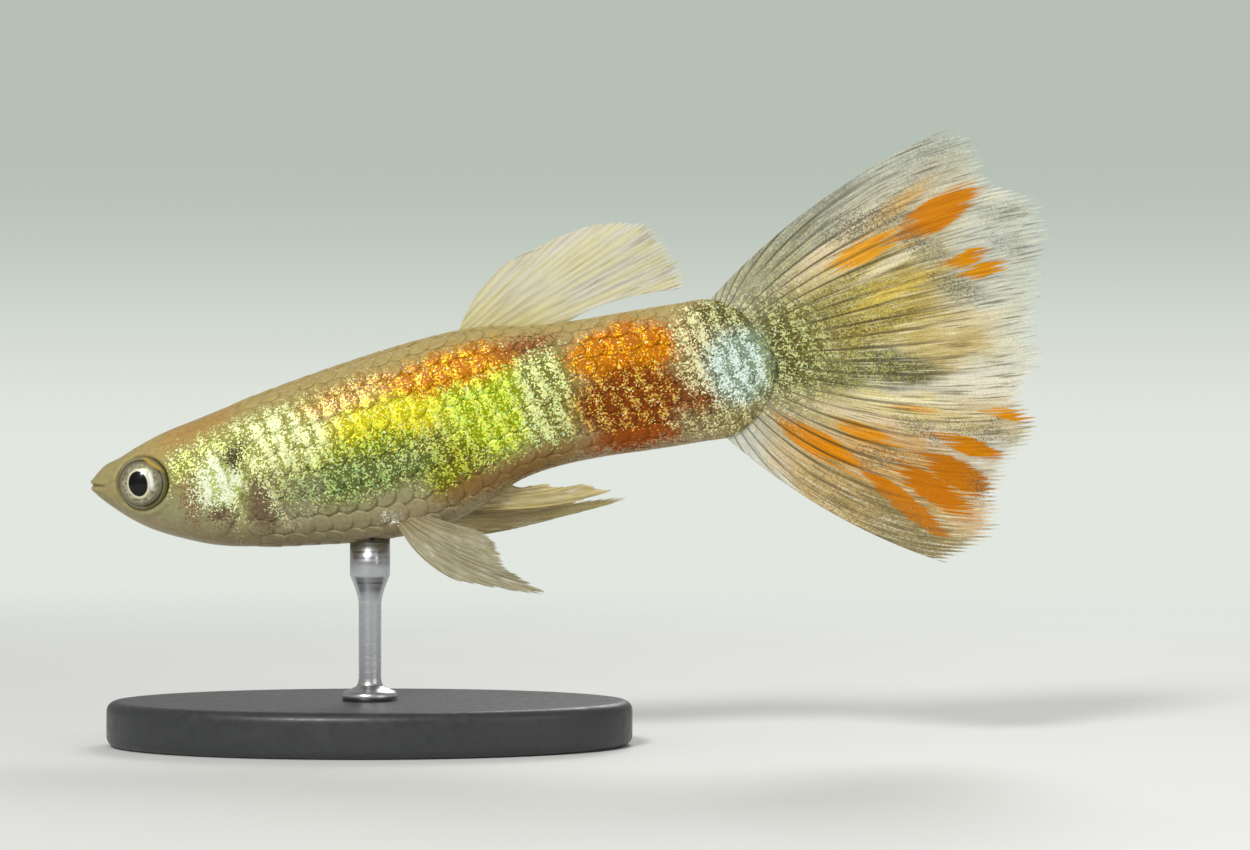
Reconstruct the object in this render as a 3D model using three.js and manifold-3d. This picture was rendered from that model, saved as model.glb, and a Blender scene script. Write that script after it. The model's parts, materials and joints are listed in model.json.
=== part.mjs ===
// A male fancy guppy, life size, swimming nose down on a plain display stand.
// Millimetres, +Z up, the nose towards -X, the left side towards -Y.
// The origin is the middle of the stand base's underside.
import * as THREE from "three";
import { mergeVertices } from "three/addons/utils/BufferGeometryUtils.js";
import Module from "manifold-3d";

const wasm = await Module();
wasm.setup();

// Driving dimensions of the fish, in its own level frame: x runs back from the tip of the snout.
const STANDARD_LENGTH = 27.75; // tip of the snout to the root of the tail fin
const PITCH_DEG = 10.3; // how far the nose points down
const GAP = 0.3; // kept between pieces that meet
const MEMBRANE = 0.5; // thickness of a fin between its rays
const RAY_RISE = 0.13; // how far a ray stands out of each face

// Driving dimensions of the stand.
const BASE_LENGTH = 21;
const BASE_WIDTH = 13;
const BASE_HEIGHT = 1.8;
const BASE_BEVEL = 0.4;
const ROD_RADIUS = 0.45;
const ROD_FOOT_RADIUS = 1.1;
const ROD_FOOT_HEIGHT = 0.45;
const ROD_PAD_RADIUS = 0.8;
const SNOUT_PLACE = new THREE.Vector3(-11.1, 0, 10.4); // the snout, seen from the stand's middle

// The body's outline: distance from the snout, height of the back, height of the belly, half width.
const STATIONS = [
  [0.0, 0.08, -0.12, 0.3],
  [0.1, 0.22, -0.36, 0.62],
  [0.3, 0.42, -0.62, 0.88],
  [0.7, 0.7, -1.04, 1.12],
  [1.3, 0.88, -1.6, 1.4],
  [2.1, 1.2, -2.18, 1.7],
  [3.2, 1.55, -2.74, 1.96],
  [4.6, 1.86, -3.3, 2.14],
  [6.2, 2.22, -3.66, 2.26],
  [8.2, 2.6, -3.94, 2.36],
  [10.4, 2.96, -4.2, 2.36],
  [12.4, 3.24, -4.22, 2.24],
  [14.2, 3.42, -3.96, 2.06],
  [15.4, 3.48, -3.52, 1.9],
  [16.8, 3.42, -2.9, 1.72],
  [18.2, 3.16, -2.62, 1.52],
  [20.2, 3.03, -2.54, 1.3],
  [22.4, 3.01, -2.62, 1.1],
  [24.4, 2.97, -2.66, 0.92],
  [25.6, 2.92, -2.66, 0.76],
  [26.3, 2.56, -2.34, 0.64],
  [26.9, 2.06, -1.88, 0.53],
  [27.4, 1.4, -1.3, 0.45],
  [STANDARD_LENGTH, 0.5, -0.5, 0.4],
];
const [BACK, BELLY, HALF_WIDTH] = [1, 2, 3];
const WIDEST_SHARE = 0.52; // height of the widest level, as a share of the depth
const FULLNESS = 0.82; // below 1 the section is fuller than an ellipse

// Eyes.
const EYE = { x: 2.17, y: 1.3, z: -0.22, radius: 1.0, depth: 0.72, turnDeg: 17 };
const PUPIL_RADIUS = 0.48;

// One value of the outline at x, as a smooth curve through the stations.
function outline(x, column) {
  const last = STATIONS.length - 2;
  let i = 0;
  while (i < last && x > STATIONS[i + 1][0]) i += 1;
  const slope = (k) => {
    const before = STATIONS[Math.max(k - 1, 0)];
    const after = STATIONS[Math.min(k + 1, last + 1)];
    return (after[column] - before[column]) / (after[0] - before[0]);
  };
  const [a, b] = [STATIONS[i], STATIONS[i + 1]];
  const span = b[0] - a[0];
  const t = THREE.MathUtils.clamp((x - a[0]) / span, 0, 1);
  const [t2, t3] = [t * t, t * t * t];
  return (
    (2 * t3 - 3 * t2 + 1) * a[column] +
    (t3 - 2 * t2 + t) * span * slope(i) +
    (3 * t2 - 2 * t3) * b[column] +
    (t3 - t2) * span * slope(i + 1)
  );
}

// A point of the skin. The angle runs from the back (0) down the left side to the belly (half a turn).
function skinPoint(x, angle, grow = 0) {
  const back = outline(x, BACK) + grow;
  const belly = outline(x, BELLY) - grow;
  const half = outline(x, HALF_WIDTH) + grow;
  const level = THREE.MathUtils.lerp(belly, back, WIDEST_SHARE);
  const [c, s] = [Math.cos(angle), Math.sin(angle)];
  const z = level + (c > 0 ? back - level : level - belly) * c;
  const y = -half * Math.sign(s) * Math.pow(Math.abs(s), FULLNESS);
  return new THREE.Vector3(x, y, z);
}

// A closed mesh from a grid of points: rings joined one to the next, each end closed on its middle.
function loft(rings) {
  const [count, around] = [rings.length, rings[0].length];
  const points = rings.flat();
  const middle = (ring) => ring.reduce((sum, p) => sum.add(p), new THREE.Vector3()).divideScalar(around);
  points.push(middle(rings[0]), middle(rings[count - 1]));
  const faces = [];
  for (let i = 0; i < count - 1; i += 1) {
    for (let j = 0; j < around; j += 1) {
      const k = (j + 1) % around;
      const [a, b, c, d] = [i * around + j, i * around + k, (i + 1) * around + k, (i + 1) * around + j];
      faces.push(a, b, c, a, c, d);
    }
  }
  for (let j = 0; j < around; j += 1) {
    const k = (j + 1) % around;
    const end = (count - 1) * around;
    faces.push(points.length - 2, k, j, points.length - 1, end + j, end + k);
  }
  return new THREE.BufferGeometry().setFromPoints(points).setIndex(faces);
}

// The whole body, grown outwards by a margin, or shrunk where it is below 0.
const HEAD_RINGS = 18;
const TRUNK_RINGS = 17;
const STALK_RINGS = 7;
const RING_SIDES = 28;
function bodyGeometry(grow = 0) {
  const places = [];
  for (let i = 0; i < HEAD_RINGS; i += 1) places.push(6.2 * Math.pow(i / HEAD_RINGS, 1.6));
  for (let i = 0; i < TRUNK_RINGS; i += 1) places.push(6.2 + (19.2 * i) / TRUNK_RINGS);
  for (let i = 0; i <= STALK_RINGS; i += 1) places.push(25.4 + 2.35 * Math.pow(i / STALK_RINGS, 0.8));
  const rings = places.map((x) => {
    const ring = [];
    for (let j = 0; j < RING_SIDES; j += 1) ring.push(skinPoint(x, (2 * Math.PI * j) / RING_SIDES, grow));
    return ring;
  });
  // A grown body is longer as well as fuller, and a shrunk one is shorter.
  const stretch = 1 + (2 * grow) / STANDARD_LENGTH;
  return loft(rings).scale(stretch, 1, 1).translate(-grow, 0, 0);
}

function solid(geometry) {
  const bare = new THREE.BufferGeometry().setAttribute("position", geometry.getAttribute("position"));
  bare.setIndex(geometry.getIndex());
  const merged = mergeVertices(bare, 1e-4);
  const mesh = new wasm.Mesh({
    numProp: 3,
    vertProperties: merged.attributes.position.array,
    triVerts: new Uint32Array(merged.index.array),
  });
  const made = new wasm.Manifold(mesh);
  if (made.volume() > 0) return made;
  mesh.triVerts = mesh.triVerts.map((_, i, all) => all[i - (i % 3) + 2 - (i % 3)]);
  return new wasm.Manifold(mesh);
}

// The largest closed surface of a solid, as a geometry.
function largest(made) {
  const [first] = made.decompose().sort((a, b) => b.volume() - a.volume());
  const { vertProperties, triVerts, numProp } = first.getMesh();
  const position = new THREE.BufferAttribute(new Float32Array(vertProperties), numProp);
  return new THREE.BufferGeometry().setAttribute("position", position).setIndex(Array.from(triVerts));
}

const SIDEWAYS = 8; // half the reach of a cutter across the fish
// A flat outline in the fish's x and z, as a cutter that runs across it from y0 to y1.
function prism(corners, y0 = -SIDEWAYS, y1 = SIDEWAYS) {
  const shape = new THREE.Shape(corners.map(([x, z]) => new THREE.Vector2(x, z)));
  const block = new THREE.ExtrudeGeometry(shape, { depth: y1 - y0, bevelEnabled: false });
  return solid(block.rotateX(Math.PI / 2).translate(0, y1, 0));
}

function ellipsoid(rx, ry, rz, turnDeg, place) {
  const ball = new THREE.SphereGeometry(1, 20, 12).scale(rx, ry, rz);
  return solid(ball.rotateZ(THREE.MathUtils.degToRad(turnDeg)).translate(place.x, place.y, place.z));
}

// Where the gill covers end: the head's rear edge at height z.
const GILL_EDGE = { x: 6.3, z: -0.3, bendAbove: 0.12, bendBelow: 0.18 };
function headEdge(z) {
  const rise = z - GILL_EDGE.z;
  return GILL_EDGE.x - (rise > 0 ? GILL_EDGE.bendAbove : GILL_EDGE.bendBelow) * rise * rise;
}
const STALK_EDGE = 19.5; // where the trunk ends and the tail stalk begins
const stalkEdge = (z) => STALK_EDGE - 0.07 * (z - 0.25) * (z - 0.25);

// The space ahead of an edge, shifted back by a margin.
function ahead(edge, shift) {
  const corners = [];
  for (let z = -6; z <= 6; z += 0.5) corners.push([edge(z) + shift, z]);
  corners.push([-4, 6], [-4, -6]);
  return prism(corners);
}

// A gill cover's outline, grown by a margin along its own normals.
const GILL_THICKNESS = 0.5;
const GILL_COVER = [
  [4.45, 0.65], [5.2, 0.95], [5.95, 0.9], [6.8, 0.2], [6.8, -1.0],
  [6.2, -2.2], [5.4, -2.75], [4.65, -2.35], [4.15, -1.5], [4.1, -0.4],
];
function gillOutline(grow) {
  const loop = new THREE.CatmullRomCurve3(GILL_COVER.map(([x, z]) => new THREE.Vector3(x, 0, z)), true);
  const steps = 28;
  const corners = [];
  for (let i = 0; i < steps; i += 1) {
    const p = loop.getPoint(i / steps);
    const along = loop.getTangent(i / steps);
    corners.push([p.x - along.z * grow, p.z + along.x * grow]);
  }
  return corners;
}

// The mouth: a slit that slopes down and back to its corner, and the jaw's own line below it.
const MOUTH_CORNER = [0.62, -0.1];
const MOUTH_FRONT = [-0.4, 0.2];
const JAW_LINE = [[0.8, -0.5], [1.02, -1.05], [1.25, -2.4]];
function jawSpace(shift) {
  const line = [MOUTH_FRONT, MOUTH_CORNER, ...JAW_LINE].map(([x, z]) => [x - shift * 0.5, z - shift]);
  return prism([...line, [-1, -2.4 - shift]]);
}

// A lip: a thin roll round the front of the mouth, lifted or lowered from the slit.
const LIP_RADIUS = 0.15;
const LIP_HALF_WIDTH = 0.78;
function lip(lift) {
  const [corner, front] = [MOUTH_CORNER, [0.15, 0.04]];
  const arc = [];
  for (let i = -4; i <= 4; i += 1) {
    const share = i / 4;
    const back = share * share * share * share;
    const x = THREE.MathUtils.lerp(front[0], corner[0], back);
    const z = THREE.MathUtils.lerp(front[1], corner[1], back) + lift;
    arc.push(new THREE.Vector3(x, share * LIP_HALF_WIDTH, z));
  }
  const round = new THREE.Shape().absarc(0, 0, LIP_RADIUS, 0, 2 * Math.PI);
  const path = new THREE.CatmullRomCurve3(arc);
  return solid(new THREE.ExtrudeGeometry(round, { extrudePath: path, steps: 14, curveSegments: 4 }));
}

// The head, the jaw, the gill covers, the trunk and the tail stalk, all cut from one body.
function fleshParts() {
  const body = solid(bodyGeometry());
  const parts = {};
  let head = body.intersect(ahead(headEdge, 0));
  const behindHead = body.subtract(ahead(headEdge, GAP));
  parts.trunk = behindHead.intersect(ahead(stalkEdge, 0));
  parts.tail_stalk = behindHead.subtract(ahead(stalkEdge, GAP));

  for (const side of [-1, 1]) {
    const place = new THREE.Vector3(EYE.x, side * EYE.y, EYE.z);
    const turn = side * EYE.turnDeg;
    const socket = EYE.radius + GAP;
    const rim = socket + 0.08;
    head = head.add(ellipsoid(rim, EYE.depth + 0.04, rim, turn, place));
    head = head.subtract(ellipsoid(socket, EYE.depth + GAP, socket, turn, place));
  }
  for (const side of [-1, 1]) {
    const pit = new THREE.CylinderGeometry(0.13, 0.13, 0.9, 8).rotateX(Math.PI / 2 - 0.5);
    head = head.subtract(solid(pit.rotateX(side * 0.9).translate(0.95, side * 0.62, 0.72)));
  }

  const inner = solid(bodyGeometry(-GILL_THICKNESS));
  const deeper = solid(bodyGeometry(-GILL_THICKNESS - GAP));
  for (const [name, y0, y1] of [["gill_cover_left", -SIDEWAYS, -0.3], ["gill_cover_right", 0.3, SIDEWAYS]]) {
    const plate = prism(gillOutline(0), y0, y1);
    parts[name] = head.intersect(plate).subtract(inner);
    head = head.subtract(prism(gillOutline(GAP), y0, y1).subtract(deeper));
  }

  parts.lower_jaw = head.intersect(jawSpace(GAP)).add(lip(-LIP_RADIUS - GAP));
  parts.head = head.subtract(jawSpace(0)).add(lip(LIP_RADIUS));
  return parts;
}

// A fin is a fan of rays. Each ray is a curve from a root, past a bend, to a tip,
// and the three are splines over the fan from its first ray (0) to its last (1).
const curveThrough = (rows) => new THREE.CatmullRomCurve3(rows.map((row) => new THREE.Vector3(...row)));
function finSurface(fin) {
  const [root, bend, tip] = [fin.root, fin.bend, fin.tip].map(curveThrough);
  return (u, v) => {
    const ray = new THREE.QuadraticBezierCurve3(root.getPoint(u), bend.getPoint(u), tip.getPoint(u));
    const p = ray.getPoint(v);
    if (fin.ripple) p.y += fin.ripple.height * v * v * Math.sin(2 * Math.PI * fin.ripple.waves * u + fin.ripple.start);
    return p;
  };
}

// How far the ray at u stands out, from 0 between rays to 1 on a crest. Past the fork each ray is two.
function rayCrest(u, v, rays, fork) {
  const turn = 2 * Math.PI * rays * u;
  const single = 0.5 + 0.5 * Math.cos(turn);
  const forked = 0.5 - 0.5 * Math.cos(2 * turn);
  const share = THREE.MathUtils.smoothstep(v, fork, fork + 0.25);
  return THREE.MathUtils.lerp(single, forked, share);
}

const COLUMNS_PER_RAY = 4;
function finGeometry(fin) {
  const surface = finSurface(fin);
  const [columns, rows] = [fin.rays * COLUMNS_PER_RAY, fin.rows];
  const spread = surface(1, 1).sub(surface(0, 1));
  const reach = surface(0.5, 1).sub(surface(0.5, 0));
  const facing = spread.cross(reach).normalize(); // straight out of the fin's face
  const faces = [[], []];
  for (let i = 0; i <= columns; i += 1) {
    for (let j = 0; j <= rows; j += 1) {
      const [u, v] = [i / columns, j / rows];
      const thin = 1 - 0.4 * Math.pow(v, 6);
      const half = (MEMBRANE / 2 + RAY_RISE * rayCrest(u, v, fin.rays, fin.fork)) * thin;
      faces[0].push(surface(u, v).addScaledVector(facing, half));
      faces[1].push(surface(u, v).addScaledVector(facing, -half));
    }
  }
  const size = (columns + 1) * (rows + 1);
  const at = (i, j) => i * (rows + 1) + j;
  const index = [];
  for (let i = 0; i < columns; i += 1) {
    for (let j = 0; j < rows; j += 1) {
      const [a, b, c, d] = [at(i, j), at(i + 1, j), at(i + 1, j + 1), at(i, j + 1)];
      index.push(a, b, c, a, c, d, size + a, size + c, size + b, size + a, size + d, size + c);
    }
  }
  // The rim joins the two faces all the way round.
  const rim = [];
  for (let i = 0; i < columns; i += 1) rim.push(at(i, 0));
  for (let j = 0; j < rows; j += 1) rim.push(at(columns, j));
  for (let i = columns; i > 0; i -= 1) rim.push(at(i, rows));
  for (let j = rows; j > 0; j -= 1) rim.push(at(0, j));
  rim.forEach((a, k) => {
    const b = rim[(k + 1) % rim.length];
    index.push(a, size + a, size + b, a, size + b, b);
  });
  return new THREE.BufferGeometry().setFromPoints(faces.flat()).setIndex(index);
}

const FINS = {
  dorsal_fin: {
    rays: 8, rows: 7, fork: 0.45, ripple: { height: 0.25, waves: 1.2, start: 0.4 },
    root: [[15.3, 0, 3.1], [16.6, 0, 2.95], [17.8, 0, 2.7], [18.9, 0, 2.5]],
    bend: [[17.0, 0.05, 6.1], [18.4, 0.1, 6.0], [20.4, 0.1, 5.4], [20.9, 0.05, 3.9]],
    tip: [[19.45, 0.1, 6.1], [21.2, 0.15, 6.65], [22.7, 0.2, 6.6], [23.8, 0.2, 6.25], [24.3, 0.15, 5.4],
      [24.7, 0.1, 4.5], [24.85, 0.05, 3.5]],
  },
  tail_fin: {
    rays: 17, rows: 10, fork: 0.4, ripple: { height: 0.45, waves: 2.6, start: 0.6 },
    root: [[25.1, 0, 2.45], [26.0, 0, 2.1], [26.7, 0, 1.25], [27.0, 0, 0.1], [26.7, 0, -1.15], [26.0, 0, -1.95],
      [25.0, 0, -2.3]],
    bend: [[30.0, 0.1, 6.45], [31.3, 0.2, 5.1], [32.3, 0.3, 2.6], [32.6, 0.3, -0.4], [31.6, 0.2, -3.2],
      [30.0, 0.1, -5.3], [28.4, 0, -6.7]],
    tip: [[36.3, 0.3, 7.95], [37.4, 0.4, 7.2], [37.7, 0.5, 5.5], [39.2, 0.6, 4.6], [39.6, 0.7, 3.4],
      [39.2, 0.8, 1.9], [38.8, 0.8, 0.6], [38.4, 0.8, -0.6], [38.3, 0.7, -1.9], [37.3, 0.6, -3.3],
      [37.7, 0.6, -4.5], [36.5, 0.5, -5.7], [35.7, 0.4, -6.9], [35.3, 0.3, -8.3], [33.0, 0.2, -9.15]],
  },
  gonopodium: {
    rays: 5, rows: 6, fork: 2,
    root: [[14.0, 0, -3.5], [14.7, 0, -3.3], [15.4, 0, -3.0], [16.2, 0, -2.6]],
    bend: [[16.8, 0, -4.2], [17.2, 0, -3.85], [17.1, 0, -3.5], [16.6, 0, -3.3]],
    tip: [[19.2, 0, -4.1], [20.35, 0, -3.92], [19.5, 0, -3.5], [18.3, 0, -3.4], [17.9, 0, -3.2],
      [17.2, 0, -3.15]],
  },
  pelvic_fin_left: {
    rays: 6, rows: 6, fork: 0.5,
    root: [[11.7, -0.95, -3.5], [12.1, -1.0, -3.45], [12.7, -1.05, -3.35]],
    bend: [[12.3, -2.2, -5.3], [13.6, -2.6, -5.8], [13.9, -2.5, -5.0], [13.9, -2.1, -4.4], [13.8, -1.8, -4.1]],
    tip: [[13.9, -3.2, -6.3], [17.1, -4.6, -7.3], [15.9, -4.0, -6.1], [15.7, -3.2, -5.5], [15.5, -2.6, -5.0],
      [15.0, -2.1, -4.5]],
  },
  pelvic_fin_right: {
    rays: 6, rows: 6, fork: 0.5,
    root: [[11.7, 0.95, -3.5], [12.1, 1.0, -3.45], [12.7, 1.05, -3.35]],
    bend: [[13.8, 1.6, -4.75], [15.1, 1.8, -4.8], [16.1, 1.9, -4.6], [15.3, 1.9, -4.2], [14.6, 1.8, -3.9]],
    tip: [[15.3, 1.8, -4.8], [16.9, 1.9, -4.75], [21.0, 1.9, -4.4], [18.6, 2.0, -4.1], [17.2, 2.0, -3.9],
      [16.2, 2.1, -3.7]],
  },
};
const PECTORAL_LEFT = {
  rays: 6, rows: 5, fork: 0.5,
  root: [[6.9, -1.9, -0.6], [6.95, -1.95, -0.95], [7.0, -1.9, -1.35]],
  bend: [[8.3, -3.1, -0.7], [8.1, -3.4, -1.5], [7.5, -3.1, -2.1]],
  tip: [[9.5, -4.0, -1.3], [9.6, -4.7, -2.0], [9.1, -4.9, -2.75], [8.4, -4.6, -3.2], [7.7, -3.9, -3.1]],
};
const mirrored = (rows) => rows.map(([x, y, z]) => [x, -y, z]);
FINS.pectoral_fin_left = PECTORAL_LEFT;
FINS.pectoral_fin_right = {
  ...PECTORAL_LEFT,
  root: mirrored(PECTORAL_LEFT.root),
  bend: mirrored(PECTORAL_LEFT.bend),
  tip: mirrored(PECTORAL_LEFT.tip),
};

function eyeSolid(side) {
  const ball = ellipsoid(EYE.radius, EYE.depth, EYE.radius, 0, new THREE.Vector3());
  const pupil = ellipsoid(PUPIL_RADIUS, 0.2, PUPIL_RADIUS, 0, new THREE.Vector3(0, side * (EYE.depth - 0.08), 0));
  return ball.add(pupil);
}

// The stand: an oval base with a soft edge, and a rod whose foot stands on it and whose pad meets the belly.
function baseGeometry() {
  const oval = new THREE.Shape();
  oval.absellipse(0, 0, BASE_LENGTH / 2 - BASE_BEVEL, BASE_WIDTH / 2 - BASE_BEVEL, 0, 2 * Math.PI);
  const block = new THREE.ExtrudeGeometry(oval, {
    depth: BASE_HEIGHT - 2 * BASE_BEVEL,
    bevelThickness: BASE_BEVEL,
    bevelSize: BASE_BEVEL,
    bevelSegments: 2,
    curveSegments: 20,
  });
  return block.translate(0, 0, BASE_BEVEL);
}
function rodGeometry(top) {
  const foot = BASE_HEIGHT + GAP;
  const profile = [
    [0, foot], [ROD_FOOT_RADIUS, foot], [ROD_FOOT_RADIUS, foot + ROD_FOOT_HEIGHT / 2],
    [ROD_FOOT_RADIUS * 0.75, foot + ROD_FOOT_HEIGHT], [ROD_RADIUS, foot + ROD_FOOT_HEIGHT * 1.6],
    [ROD_RADIUS, top - 1.6], [ROD_PAD_RADIUS, top - 0.7], [ROD_PAD_RADIUS, top + 1.2], [0, top + 1.2],
  ];
  return new THREE.LatheGeometry(profile.map(([r, z]) => new THREE.Vector2(r, z)), 20).rotateX(Math.PI / 2);
}

const FINISH = {
  flesh: { color: 0xb2a16a, roughness: 0.35, metalness: 0.1 },
  gill: { color: 0xb9cf8e, roughness: 0.25, metalness: 0.4 },
  eye: { color: 0x20201c, roughness: 0.1, metalness: 0 },
  fin: { color: 0xe6dfb0, roughness: 0.4, metalness: 0 },
  tail: { color: 0xe39a3a, roughness: 0.4, metalness: 0 },
  base: { color: 0x3a3a3c, roughness: 0.5, metalness: 0 },
  rod: { color: 0xb8babd, roughness: 0.25, metalness: 0.9 },
};
function piece(name, geometry, finish) {
  const mesh = new THREE.Mesh(geometry, new THREE.MeshStandardMaterial(FINISH[finish]));
  mesh.name = name;
  return mesh;
}

const guppy = new THREE.Group();
const fish = new THREE.Group();
fish.position.copy(SNOUT_PLACE);
fish.rotation.y = -THREE.MathUtils.degToRad(PITCH_DEG);
guppy.add(fish);

for (const [name, made] of Object.entries(fleshParts())) {
  fish.add(piece(name, largest(made), name.startsWith("gill") ? "gill" : "flesh"));
}
const clearance = solid(bodyGeometry(GAP));
for (const [name, fin] of Object.entries(FINS)) {
  const blade = solid(finGeometry(fin)).subtract(clearance);
  fish.add(piece(name, largest(blade), name === "tail_fin" ? "tail" : "fin"));
}
for (const [name, side] of [["eye_left", -1], ["eye_right", 1]]) {
  const eye = piece(name, largest(eyeSolid(side)), "eye");
  eye.position.set(EYE.x, side * EYE.y, EYE.z);
  eye.rotation.z = THREE.MathUtils.degToRad(side * EYE.turnDeg);
  fish.add(eye);
}

fish.updateMatrixWorld(true);
const bellyAbove = new THREE.Vector3(10.2, 0, outline(10.2, BELLY)).applyMatrix4(fish.matrixWorld).z;
const underBelly = solid(bodyGeometry(GAP).applyMatrix4(fish.matrixWorld));
guppy.add(piece("stand_base", baseGeometry(), "base"));
guppy.add(piece("stand_rod", largest(solid(rodGeometry(bellyAbove)).subtract(underBelly)), "rod"));

export default guppy;
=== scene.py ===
# %% [markdown]
# A male fancy guppy on a display stand.
#
# The lesson dresses a life-size guppy, 28 mm from the snout to the root of its tail. Its colour isn't one
# coat of paint: thousands of tiny reflecting cells lie in the skin, and the colour of each depends on where
# it sits. So the skin, the scales and the fins all share one set of shader groups that read a point's place
# on the fish, in millimetres from the tip of the snout.

import json
import math

import bpy
import numpy as np
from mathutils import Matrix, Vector
from mathutils.bvhtree import BVHTree

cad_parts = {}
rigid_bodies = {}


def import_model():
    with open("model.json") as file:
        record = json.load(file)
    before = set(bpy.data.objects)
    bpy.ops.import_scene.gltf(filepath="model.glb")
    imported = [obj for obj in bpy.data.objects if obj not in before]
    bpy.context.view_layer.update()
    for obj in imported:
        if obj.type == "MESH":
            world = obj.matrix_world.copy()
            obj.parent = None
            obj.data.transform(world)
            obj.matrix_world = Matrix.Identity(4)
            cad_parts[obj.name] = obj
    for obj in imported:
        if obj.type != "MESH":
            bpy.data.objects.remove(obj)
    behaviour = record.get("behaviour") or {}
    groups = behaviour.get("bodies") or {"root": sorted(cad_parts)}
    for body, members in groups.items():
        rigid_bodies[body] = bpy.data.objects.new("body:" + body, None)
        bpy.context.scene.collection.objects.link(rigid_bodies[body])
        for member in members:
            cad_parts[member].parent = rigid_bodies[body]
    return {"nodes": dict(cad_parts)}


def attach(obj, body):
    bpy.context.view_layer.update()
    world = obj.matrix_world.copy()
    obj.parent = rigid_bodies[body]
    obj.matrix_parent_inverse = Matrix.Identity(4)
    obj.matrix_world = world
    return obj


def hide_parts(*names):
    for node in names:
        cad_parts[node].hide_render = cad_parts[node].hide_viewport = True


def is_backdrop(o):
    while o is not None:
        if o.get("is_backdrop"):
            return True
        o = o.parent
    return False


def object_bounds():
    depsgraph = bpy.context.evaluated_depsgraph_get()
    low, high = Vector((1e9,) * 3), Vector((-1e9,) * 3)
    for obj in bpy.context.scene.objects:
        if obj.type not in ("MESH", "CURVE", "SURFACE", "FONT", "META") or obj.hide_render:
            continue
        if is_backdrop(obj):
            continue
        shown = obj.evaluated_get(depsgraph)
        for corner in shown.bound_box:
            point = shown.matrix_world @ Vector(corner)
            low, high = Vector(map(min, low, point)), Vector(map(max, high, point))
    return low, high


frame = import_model()
solid_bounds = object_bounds()
rng = np.random.default_rng(11)
print("solid parts:", len(frame["nodes"]))

# %% [markdown]
# The fish's own frame.
#
# The fish swims nose down, so its forms are easier to place in a level frame of its own: x runs back from
# the tip of the snout, y to its right side and z up. Each finished piece could be turned by hand, but one
# function that turns every point into the room's frame can't leave a piece behind.

# %% Fish coordinates
MM = 0.001
PITCH = math.radians(10.3)
SNOUT = np.array([-11.1, 0.0, 10.4])
LENGTH = 27.75  # snout to the root of the tail fin


def to_room(points):
    """Turns fish coordinates in millimetres into the room's metres."""
    x, y, z = points[..., 0], points[..., 1], points[..., 2]
    level, rise = math.cos(PITCH), math.sin(PITCH)
    turned = np.stack([x * level - z * rise, y, x * rise + z * level], -1)
    return (turned + SNOUT) * MM


def smooth(low, high, x):
    """0 up to low and 1 past high, with an S-shaped step between them. High may be the smaller one."""
    t = np.clip((x - low) / (high - low), 0, 1)
    return t * t * (3 - 2 * t)


def bump(x, middle, width):
    """A soft hump of height 1."""
    return np.exp(-(((x - middle) / width) ** 2))


# %% [markdown]
# Meshes from grids.
#
# Every soft form here is a grid of points. Sculpting would be the usual way to make them, but it leaves no
# numbers behind. This step turns a grid into a mesh and hangs named values on its points, so that a material
# can ask where on the fish it is.

# %% Mesh helpers
def grid_faces(rows, columns, closed=False, first=0, flip=False):
    """The quads of a grid whose points are numbered row by row."""
    j = np.arange(columns if closed else columns - 1)
    i = np.arange(rows - 1)[:, None]
    k = (j + 1) % columns
    quads = np.stack([i * columns + j, i * columns + k, (i + 1) * columns + k, (i + 1) * columns + j], -1)
    quads = quads.reshape(-1, 4) + first
    return quads[:, ::-1] if flip else quads


def place_piece(name, places, faces, material, slot):
    """A smooth mesh that rides on the model. Its places are in the room's metres."""
    mesh = bpy.data.meshes.new(name)
    mesh.from_pydata(places.tolist(), [], [list(map(int, face)) for face in faces])
    mesh.shade_smooth()
    mesh.materials.append(material)
    piece = bpy.data.objects.new(name, mesh)
    bpy.context.scene.collection.objects.link(piece)
    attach(piece, "root")
    print(name, len(mesh.polygons), "faces")
    return piece


def make_piece(name, points, faces, material, slot, **values):
    """A piece of the fish. Each extra value is stored on its points under its own name."""
    piece = place_piece(name, to_room(points), faces, material, slot)
    for label, value in {"fish": points, **values}.items():
        kind, field = ("FLOAT_VECTOR", "vector") if np.ndim(value) > 1 else ("FLOAT", "value")
        store = piece.data.attributes.new(label, kind, "POINT")
        store.data.foreach_set(field, np.asarray(value, dtype=np.float32).ravel())
    return piece


def set_bake_map(piece, flat):
    """Stores each point's place on the unwrapped skin as the UV map."""
    mesh = piece.data
    corner = np.empty(len(mesh.loops), dtype=np.int64)
    mesh.loops.foreach_get("vertex_index", corner)
    layer = mesh.uv_layers.new(name="OFBake")
    layer.data.foreach_set("uv", flat[corner].astype(np.float32).ravel())


# %% [markdown]
# The body's outline.
#
# A guppy's body is deepest at the middle and narrows to a deep, thin tail stalk. It could be sculpted from a
# ball. Here it is drawn as a boat's hull is: each station gives the height of the back, the height of the
# belly and the half width, and a smooth curve joins them. The scales and the marks can then ask for any
# point of the body.

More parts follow.
